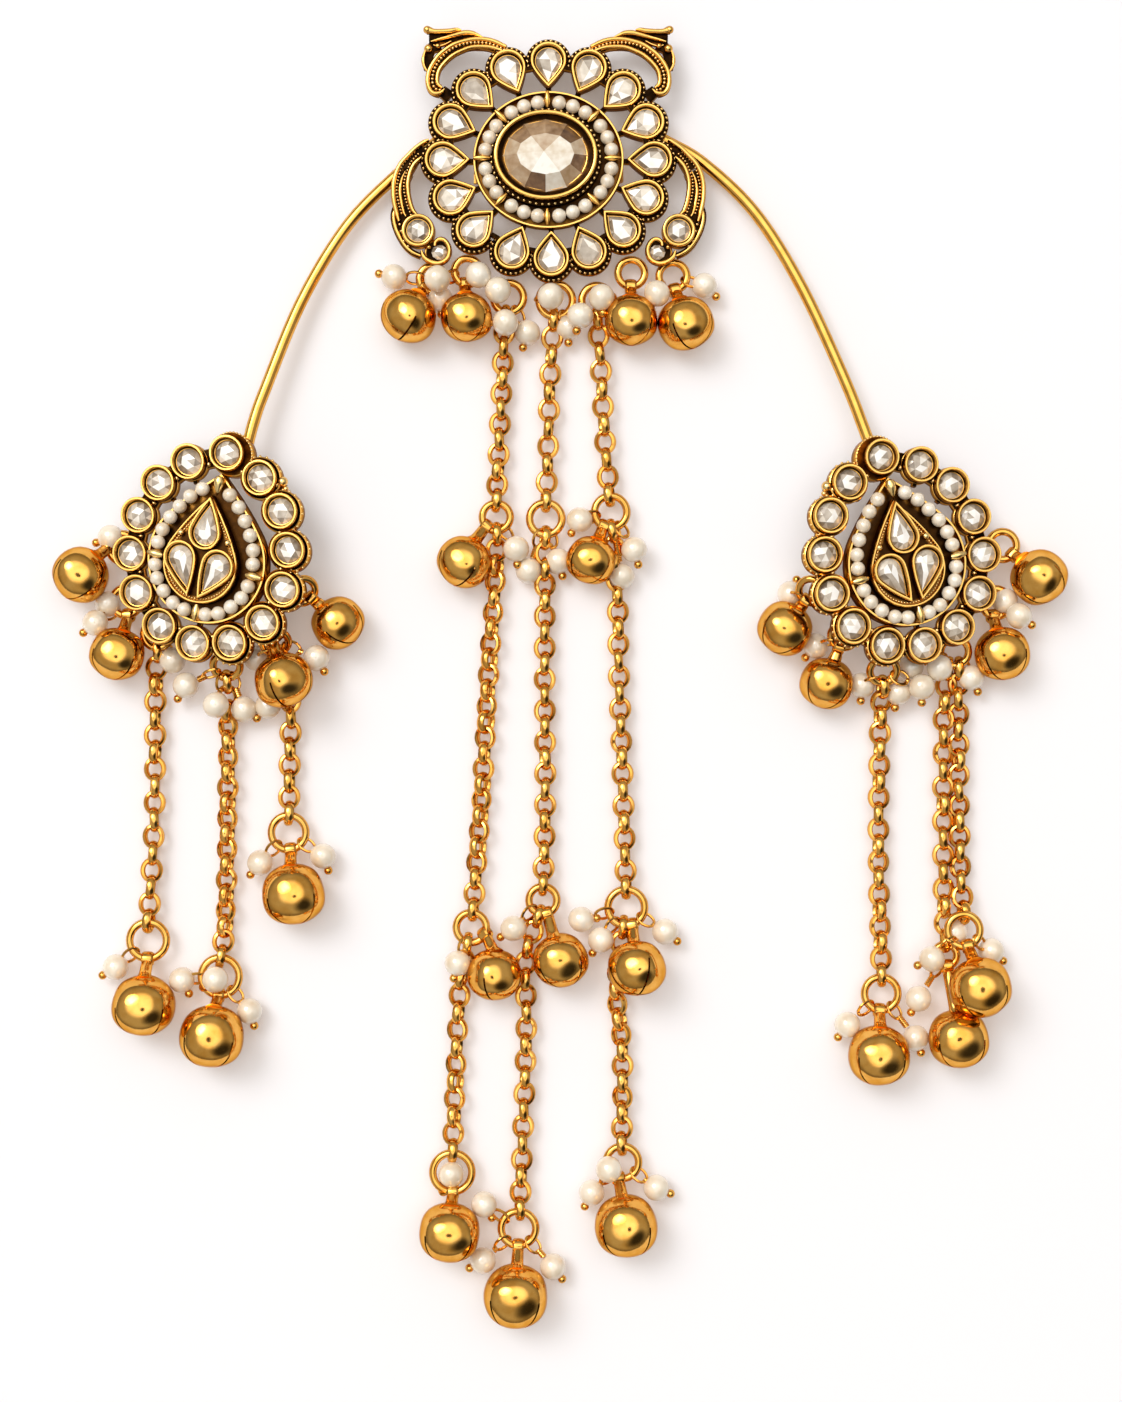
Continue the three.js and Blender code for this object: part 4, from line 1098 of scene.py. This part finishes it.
# The rings of each strand, with the columns above.
STRAND_RINGS = {
    "centre_left": [
        (-7.2, -24.1, 3, 3.4, 0, 0,
         [(-9, -23.3, 6.3, HIDDEN), (-7.7, -29, 5.6, 180), (-3.8, -30.3, 2.4, -107)]),
        (-9.4, -63.6, 2.9, 3.2, 0, 0, [(-5.8, -69.4, 4, -86)]),
        (-13.9, -137.5, 2.9, 3.4, 0, 0, [(-16.3, -143.8, 4, -105)]),
        (-17.3, -181.5, 3.2, 4.2, 0, 0, [(-17.5, -181.9, 3, HIDDEN)]),
    ],
    "centre_middle": [
        (1.3, -24.6, 3, 3.7, 0, 0, [(0.4, -24.4, 6.3, HIDDEN), (3.6, -29.3, 2.4, -90)]),
        (-0.5, -63.9, 2.9, 3.6, 0, 0, [(-3.6, -73.2, 2.4, HIDDEN), (1.7, -71.5, 2.3, -73)]),
        (-1, -132.6, 2.9, 3.2, 0, 0, [(-6.3, -137.5, 4, -145)]),
        (-5.4, -191.6, 3.2, 3.8, 0, 0,
         [(-11.6, -187.3, 3, -60), (-11.8, -197.4, 3, -150), (0.8, -198.5, 3, -54)]),
    ],
    "centre_right": [
        (8.7, -24.6, 3, 3.4, 0, 0, [(5.7, -27.8, 6, -104), (9.5, -24.6, 6.3, -85)]),
        (11.2, -62.7, 2.9, 3.6, 0, 0,
         [(5.6, -64.1, 3, -122), (15.4, -69.5, 4, -75), (13.2, -74.2, 2.4, HIDDEN)]),
        (14, -133.9, 2.9, 4, 0, 0, [(5.9, -136, 3, 4), (9.4, -139.7, 3, -122), (21, -138.2, 3, -39)]),
        (13.3, -179.7, 3.2, 3.6, 0, 0,
         [(10.8, -180.6, 5, HIDDEN), (7.8, -185.2, 3, -117), (19.4, -184.3, 3, -23)]),
    ],
    "left_outer": [
        (-70.3, -84.8, 4.0, 3.1, 10, -90, [(-67.7, -89.4, 3, HIDDEN)]),
        (-72.1, -139.8, 2.9, 4, 0, 0, [(-77.9, -144.6, 3, -148)]),
    ],
    "left_middle": [
        (-57.6, -90.4, 5.5, 3.1, 25, -90,
         [(-65.3, -93.9, 3, -121), (-59.5, -97.4, 5.6, HIDDEN), (-54.8, -98.2, 3, -35)]),
        (-59.1, -146.3, 2.9, 4.1, 0, 0,
         [(-66, -146.9, 3, -63), (-59.7, -146.6, 5, HIDDEN), (-53.8, -152.5, 3, -73)]),
    ],
    "left_inner": [
        (-48.7, -86.2, 6.8, 3, 30, -76,
         [(-50.5, -97.6, 3, HIDDEN), (-52.5, -89, 3, HIDDEN), (-41.6, -89, 4.6, -60)]),
        (-46.8, -120.4, 2.9, 3.8, 0, 0, [(-51.9, -125.8, 3, -129), (-40.6, -124.6, 3, -70)]),
    ],
    "right_inner": [
        (59.9, -91.3, 5.7, 3.1, 25, -90,
         [(56.4, -93.9, 3, -94), (63, -95.2, 3, -103), (66.9, -94.2, 5, -90)]),
        (59.9, -149.4, 2.9, 3.7, 0, 0, [(53.8, -155, 3, -127), (66.1, -157.4, 3, -70)]),
    ],
    "right_outer": [
        (72.9, -87.9, 4.1, 3.2, 10, -90,
         [(70.1, -90.8, 5, HIDDEN), (65.2, -90.6, 2.6, HIDDEN), (76.1, -92.5, 3, -65)]),
        (71.5, -142.5, 2.9, 2.7, 0, 0, [(66.6, -150.3, 3, -118)]),
        (74.4, -137.8, 5, 3.6, 0, 0,
         [(68.7, -142.9, 5, -155), (73.2, -138.5, 2.4, HIDDEN), (79.7, -141.7, 3, -40)]),
    ],
}

# The runs of chain of each strand, each through its x and y, with a height where it leaves the table.
STRAND_CHAINS = {
    "centre_left": [
        [(-7.8, -26.8), (-8.5, -40.8), (-9, -52), (-9.4, -61.2)],
        [(-9.3, -66), (-9.6, -75), (-10.7, -90), (-11.9, -111.7), (-13.1, -127.7), (-13.6, -134.9)],
        [(-14.5, -139.9), (-16, -149.2), (-16.8, -165), (-17.3, -178.4)],
    ],
    "centre_middle": [
        [(0.9, -27.3), (0.2, -40), (-0.1, -52), (-0.5, -61.2)],
        [(-0.6, -66.6), (-0.7, -92.4), (-0.6, -115), (-1, -130.3)],
        [(-1.5, -134.9), (-4, -142.5), (-4, -155), (-4.4, -168.7), (-5.2, -188.8)],
    ],
    "centre_right": [
        [(8.8, -27), (9.6, -40), (10.2, -50), (11, -60.2)],
        [(11.4, -65.4), (12.4, -77.2), (12.7, -92), (13.4, -112), (14, -130.9)],
        [(13.5, -136.8), (12.3, -148.8), (13.3, -159.7), (13.2, -177.1)],
    ],
    "left_outer": [
        [(-70.4, -87, 2.8), (-70.9, -96.3), (-71.1, -117.3), (-72.1, -137)],
    ],
    "left_middle": [
        [(-57.7, -92.6, 4.2), (-57.8, -100), (-57.8, -107), (-58.2, -134.2), (-59.1, -143.4)],
    ],
    "left_inner": [
        [(-48, -88.1, 4.6), (-47.2, -92.5), (-46.5, -98), (-46.7, -107.9), (-46.8, -117.6)],
    ],
    "right_inner": [
        [(60, -93.5, 4.3), (59.8, -101), (59.5, -123.6), (60, -146.7)],
    ],
    "right_outer": [
        [(72.1, -90.2, 2.9), (71.3, -100), (71.2, -127.2), (71.5, -140.5)],
        [(73.9, -90.2, 2.9), (73.9, -100), (74, -114.6), (74.3, -127.6), (74.8, -135.4, 3)],
    ],
}
TWIST = 24
TWISTED = {("left_middle", 0), ("centre_left", 1), ("centre_left", 2), ("centre_right", 2)}  # strand, run


def nearest_on_ring(stand, reach, goal):
    """The point of a ring's wire that lies nearest to a place, and the wire's direction there."""
    local = stand.inverted() @ goal
    local.z = 0
    local = local.normalized() * reach
    along = stand.to_3x3() @ Vector((-local.y, local.x, 0)).normalized()
    return stand @ local, along


def torus(reach, wire, steps, sides):
    """A ring of round wire, with `reach` from its middle to the wire's."""
    section = round_section(wire, sides)
    return turned([(reach + across, up, patina_and_light_value) for across, up, patina_and_light_value in section], steps)


EYE = sweep(round_section(PIN, 8), rim_places(oval(1.2, 1.7, 18)), True)
COIL_TURN = torus(0.4, 0.23, 12, 6)
RINGS = []  # where each ring stands and its reach, for the bells to find


def eye_pin(gold, eye, along, pearl, head):
    """Open eye on the ring, a few wraps, and the ball at the pearl's far side; the wire through the pearl is
    not drawn.
    """
    reach = pearl - eye
    out = reach.normalized()
    square = out.cross(along).normalized()
    flat = out.cross(square)
    across = (flat * 0.8 + square * 0.6).normalized()
    gold.add(EYE, axes(across, out, across.cross(out), eye + out * 0.8))
    gap = reach.length - HANGING_PEARL
    tilted = (out + flat * 0.15).normalized()
    side = square.cross(tilted).normalized()
    for k in range(max(1, round((gap - COIL_START) / COIL_PITCH))):
        spot = eye + out * (COIL_START + COIL_PITCH * k)
        gold.add(COIL_TURN, axes(side, tilted.cross(side), tilted, spot))
    tail = eye + out * (COIL_START - 0.1) + flat * 0.5
    gold.add_ball(tail, 0.3)
    if head is not HIDDEN:
        angle = math.radians(head)
        way = Vector((math.cos(angle), math.sin(angle), -0.05)).normalized()
        gold.add_ball(pearl + way * (HANGING_PEARL + 0.42), 0.78, SMOOTH_BALL)
        gold.add_ball(pearl + way * (HANGING_PEARL - 0.05), 0.55)


def add_ring(gold, pearls, row):
    x, y, z, outer, lean, toward, hung = row
    stand = at(x, y, z, toward) @ Matrix.Rotation(math.radians(lean), 4, "Y")
    reach = outer - RING_WIRE
    RINGS.append((stand, reach))
    gold.add(torus(reach, RING_WIRE, 40, 10), stand)
    for px, py, pz, head in hung:
        place = Vector((px, py, max(pz, HANGING_PEARL)))
        eye, along = nearest_on_ring(stand, reach, place)
        eye_pin(gold, eye, along, place, head)
        spin = Matrix.Rotation(px * 7 + py, 4, (0.3, 0.5, 0.8))
        size = Matrix.Diagonal((HANGING_PEARL, PEARL_HEIGHT, HANGING_PEARL, 1))
        pearls.add(ROUND_PEARL, Matrix.Translation(place) @ spin @ size)


def chain_link():
    """A wide oval link of D section, lying flat."""
    section = [
        (-0.38, 0.45, 1), (-0.44, 0, 1), (-0.38, -0.45, 1), (-0.12, -0.76, 1), (0.22, -0.66, 1),
        (0.42, -0.3, 1), (0.46, 0, 1), (0.42, 0.3, 1), (0.22, 0.66, 1), (-0.12, 0.76, 1),
    ]
    return sweep(section, rim_places(oval(1.58, 1.84, 20)), True)


LINK = chain_link()


def add_chain(gold, points, draw, twist=0):
    """Links from ring to ring, each turned a quarter against the last, and all but the two at each end by
    `twist`.
    """
    heights = [CHAIN_END_Z] + [CHAIN_Z] * (len(points) - 2) + [CHAIN_END_Z]
    level = [point if len(point) == 3 else (*point, z) for point, z in zip(points, heights)]
    route = smooth_route(level, 12)
    hook = LINK_PITCH / 2 - RING_WIRE
    count = round((length_of(route) - 2 * hook) / LINK_PITCH / 2 + 0.5) * 2 - 1
    for i, (where, along) in enumerate(spaced(route, hook, hook, count)):
        where.z = max(where.z, CHAIN_Z)
        across = along.cross(UP).normalized()
        quarter = (90 if i % 2 == 0 else 0) + (twist if 1 < i < count - 2 else 0)
        roll = Matrix.Rotation(math.radians(quarter + draw.uniform(-14, 14)), 4, "Y")
        sway = Matrix.Rotation(math.radians(draw.uniform(-5, 5)), 4, "Z")
        gold.add(LINK, axes(across, along, across.cross(along), where) @ sway @ roll)


def build_strands():
    draw = random.Random(7)
    for name, row in FRINGE.items():
        gold = Piece("ring_" + name, BRIGHT, "polished_gold", name)
        pearls = Piece("pearls_" + name, PEARL, "pearl", name)
        add_ring(gold, pearls, row)
        gold.done()
        if row[-1]:
            pearls.done()
    for name, rings in STRAND_RINGS.items():
        gold = Piece("chain_" + name, BRIGHT, "polished_gold", "strand_" + name)
        pearls = Piece("pearls_" + name, PEARL, "pearl", "strand_" + name)
        for row in rings:
            add_ring(gold, pearls, row)
        for k, points in enumerate(STRAND_CHAINS[name]):
            add_chain(gold, points, draw, TWIST if (name, k) in TWISTED else 0)
        gold.done()
        pearls.done()


# ---- bells
# Columns: x, y and height of the body's middle, its diameter, the way its neck points, the neck's rise
# and its reach, and how far the body is rolled about its neck.
BELLS = {
    "brooch_1": (-25.0, -27.8, 4.9, 9.2, 64, 0, 5.3, 20),
    "brooch_2": (-14.7, -27.9, 4.9, 8.8, 92, 0, 5.9, 45),
    "brooch_3": (14.8, -28.5, 4.9, 9.0, 90, 0, 6.1, 45),
    "brooch_4": (24.6, -29.1, 4.9, 9.4, 106, 0, 6.1, 60),
    "tier_1_left": (-15.1, -71.8, 4.8, 9.0, 63, 0, 5.5, 30),
    "tier_1_right": (7.6, -71.5, 5.2, 8.4, 70, 0, 5.6, 45),
    "tier_2_left": (-9.7, -145.7, 4.8, 9.0, 93, 0, 5.7, 70),
    "tier_2_middle": (2.1, -143.1, 5.0, 9.4, 106, 0, 7.4, 45),
    "tier_2_right": (15.7, -144.3, 7.6, 9.6, 95, -27, 7.3, 25),
    "tier_3_left": (-17.7, -191.7, 5.3, 10.4, 86, 0, 6.4, 45),
    "tier_3_middle": (-5.9, -203.0, 5.5, 10.9, 87, 0, 8.1, 45),
    "tier_3_right": (13.9, -190.5, 5.4, 10.7, 98, 0, 7.8, 45),
    "left_1": (-83.7, -74.1, 4.9, 9.5, 47, 0, 6.2, 45),
    "left_2": (-77.2, -88.3, 4.8, 9.2, 75, 0, 5.6, 45),
    "left_3": (-37.7, -82.7, 4.7, 9.0, 136, 0, 5.2, 60),
    "left_4": (-47.0, -93.0, 8.9, 9.6, 105, 0, 5.6, 70),
    "left_outer_end": (-72.4, -151.1, 5.4, 10.7, 88, 0, 6.8, 45),
    "left_middle_end": (-60.1, -156.6, 5.6, 11.0, 84, 0, 6.0, 45),
    "left_inner_end": (-45.6, -131.2, 5.4, 10.7, 96, 0, 7.5, 45),
    "right_1": (87.8, -74.5, 4.9, 9.5, 135, 0, 5.1, 30),
    "right_2": (81.2, -88.2, 4.8, 9.3, 102, 0, 5.4, 45),
    "right_3": (42.3, -83.7, 4.8, 9.3, 53, 0, 4.9, 45),
    "right_4": (49.8, -93.5, 4.7, 9.0, 71, 0, 5.6, 45),
    "right_inner_end": (59.1, -160.0, 5.4, 10.5, 87, 0, 5.8, 45),
    "right_outer_end": (73.3, -157.1, 5.2, 10.2, 95, 0, 5.4, 45),
    "right_top_end": (76.7, -147.6, 8.5, 10.4, 103, 0, 7.1, 45),
}
SLOT = 0.032  # half width of a slot, as a share of the radius
SLOT_END = 0.0  # how far up the slots run
WALL = 0.045
PRESSED = 0.94  # distance of a pressed side from the middle
BULGE = 1.7  # radius to which a pressed side is rounded
WIDER = 1.1
SOFT = 26  # the higher, the crisper the edges of the pressed sides


def open_slots(shape):
    """A cross of slots from the bottom up the four edges."""
    cuts = [  # distance from the middle, direction
        (-SLOT, (1, 0, 0)), (SLOT, (1, 0, 0)), (-SLOT, (0, 1, 0)), (SLOT, (0, 1, 0)), (SLOT_END, (0, 0, 1)),
    ]
    for offset, way in cuts:
        everything = shape.verts[:] + shape.edges[:] + shape.faces[:]
        plane = Vector(way) * offset
        bmesh.ops.bisect_plane(shape, geom=everything, dist=1e-5, plane_co=plane, plane_no=way)
    opened = []
    for part in shape.faces:
        middle = part.calc_center_median()
        if middle.z < SLOT_END and min(abs(middle.x), abs(middle.y)) < SLOT * 0.98:
            opened.append(part)
    bmesh.ops.delete(shape, geom=opened, context="FACES")


def pressed_reach(way):
    """How far the bell's skin lies from its middle in a direction: a ball with four pressed sides."""
    pull = math.exp(-SOFT)
    back = BULGE - PRESSED
    for x, y in ((1, 1), (1, -1), (-1, 1), (-1, -1)):
        side = Vector((x, y, 0.12)).normalized()
        along = back * way.dot(side)
        pull += math.exp(-SOFT * (math.sqrt(along ** 2 + BULGE ** 2 - back ** 2) - along))
    return -math.log(pull) / SOFT


def bell_body(seed):
    """A thin hollow ball of radius about 1, pressed flat on four sides."""
    shape = bmesh.new()
    bmesh.ops.create_uvsphere(shape, u_segments=48, v_segments=28, radius=1)
    open_slots(shape)
    for corner in shape.verts:
        way = corner.co.normalized()
        place = way * pressed_reach(way)
        dent = noise.noise(place * 1.3 + Vector((seed * 3.1, 0, 0))) * 0.035
        place *= 1.02 + dent
        corner.co = (place.x * WIDER, place.y * WIDER, place.z)
    grown = bmesh.ops.extrude_face_region(shape, geom=shape.faces[:])["geom"]
    inside = [part for part in grown if isinstance(part, bmesh.types.BMVert)]
    bmesh.ops.scale(shape, vec=(1 - WALL, 1 - WALL, 1 - WALL), verts=inside)
    bmesh.ops.recalc_face_normals(shape, faces=shape.faces[:])
    return template(shape)


LOOP_SECTION = [
    (0.76, -0.8, 1), (1.1, -1.0, 1), (1.3, -0.72, 1), (1.36, 0, 1), (1.3, 0.72, 1), (1.1, 1.0, 1),
    (0.76, 0.8, 1),
]
LOOP = turned(LOOP_SECTION, 20)


def neck(piece, foot, eye, along):
    """A flared stem that rises from the bell and ends in a loop round the ring's wire."""
    out = (eye - foot).normalized()
    square = along.cross(out).normalized()
    length = (eye - foot).length
    stem = [
        (0, -0.8, 1), (1.85, -0.75, 1), (1.6, -0.3, 1), (1.34, 0.1, 1), (1.18, 0.6, 1), (1.1, 1.2, 1),
        (1.05, length - 1.4, 1), (1.0, length - 1.1, 1), (0.6, length - 0.7, 1), (0, length - 0.66, 1),
    ]
    flattened = Matrix.Diagonal((1, 0.85, 1, 1))
    piece.add(turned(stem, 20), axes(out.cross(square), square, out, foot) @ flattened)
    piece.add(LOOP, axes(out, square, out.cross(square), eye))


def build_bells():
    for k, (name, (x, y, z, size, turn, rise, reach, roll)) in enumerate(BELLS.items()):
        piece = Piece("ghungroo_" + name, BRIGHT, "polished_gold", "bell_" + name)
        height = max(z, size / 2 * WIDER + 0.1)
        stand = at(x, y, height, turn - 90) @ Matrix.Rotation(math.radians(rise), 4, "X")
        tip = stand @ Vector((0, reach + 0.8, 0))
        found = [nearest_on_ring(ring, radius, tip) for ring, radius in RINGS]
        eye, along = min(found, key=lambda wire: (wire[0] - tip).length)
        upright = Matrix.Rotation(-math.pi / 2, 4, "X") @ Matrix.Rotation(math.radians(roll), 4, "Z")
        piece.add(bell_body(k), stand @ upright @ Matrix.Scale(size / 2, 4))
        neck(piece, stand @ Vector((0, size * 0.46, 0)), eye, along)
        piece.done(crease=28)


# ---- studio
LENS = 74.33
CAMERA_PLACE = Vector((2.25, -96.7, 420))


def build_camera():
    """A camera that looks straight down."""
    lens = bpy.data.cameras.new("camera")
    lens.sensor_fit = "HORIZONTAL"
    lens.sensor_width = 36
    lens.lens = LENS
    camera = in_scene("camera", lens)
    camera.location = CAMERA_PLACE * MM
    bpy.context.scene.camera = camera


def build_floor_sheet():
    """The white paper that the ornament lies on."""
    shape = bmesh.new()
    bmesh.ops.create_grid(shape, x_segments=1, y_segments=1, size=2.5)
    mesh = bpy.data.meshes.new("table_top")
    shape.to_mesh(mesh)
    shape.free()
    finish = new_finish("white_paper")
    paper = {
        "Base Color": (0.735, 0.745, 0.775, 1), "Roughness": 0.9, "Specular IOR Level": 0.1,
        "Emission Color": (1.0, 0.77, 0.6, 1), "Emission Strength": 0.22,
    }
    mesh.materials.append(finish.surface(paper))
    sheet = in_scene("table_top", mesh)


def build_world():
    """A white studio with a dark patch, so that polished gold has something to show."""
    world = bpy.data.worlds.new("studio")
    bpy.context.scene.world = world
    sky = Finish(world)
    way = sky.node("ShaderNodeTexCoord", {}, {}, "Generated")

    def toward(direction, start, end):
        """A soft patch: it begins where the cosine to `direction` is `start`, and is full at `end`."""
        aim = Vector(direction).normalized()
        pair = {0: way, 1: tuple(aim)}
        along = sky.node("ShaderNodeVectorMath", {"operation": "DOT_PRODUCT"}, pair, "Value")
        sockets = {"Value": along, "From Min": start, "From Max": end}
        return sky.node("ShaderNodeMapRange", {"interpolation_type": "SMOOTHSTEP"}, sockets)

    cap = toward((-0.04, 0.2, 0.97), 0.72, 0.95)
    window = toward((-0.45, 0.45, 0.77), 0.945, 0.975)
    dark = toward((0.52, -0.56, 0.62), 0.78, 0.98)
    lens = toward((0, 0, 1), 0.9935, 0.9955)
    horizon = toward((0, 0, 1), 0.45, 0.0)
    level = (0.5 + cap * 1.45 + window * 3.6 - horizon * 0.3) * (1 - dark * 0.93) * (1 - lens * 0.97)
    back = sky.tree.nodes["Background"]
    sky.fill(back, {"Strength": level, "Color": (0.985, 0.985, 0.98, 1)})


def build_lamp():
    """One soft lamp, high at the upper left; places in metres."""
    where = Vector((-0.63, 0.5, 1.15))
    aim = Vector((0, -0.1, 0))
    light = bpy.data.lights.new("key", "AREA")
    light.size = 0.5
    light.energy = 3.0
    lamp = in_scene("key", light)
    lamp.location = where
    lamp.rotation_euler = (aim - where).to_track_quat("-Z", "Y").to_euler()


build_camera()
build_floor_sheet()
build_world()
build_lamp()
bpy.context.scene.view_settings.view_transform = "Standard"

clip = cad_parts["hair_clip"]
clip.data.materials.clear()
clip.data.materials.append(WIRE)
build_brooch()
build_centre_stone()
build_brooch_pearls()
for drop in DROPS:
    build_drop(drop)
build_arm_wires()
build_strands()
build_bells()
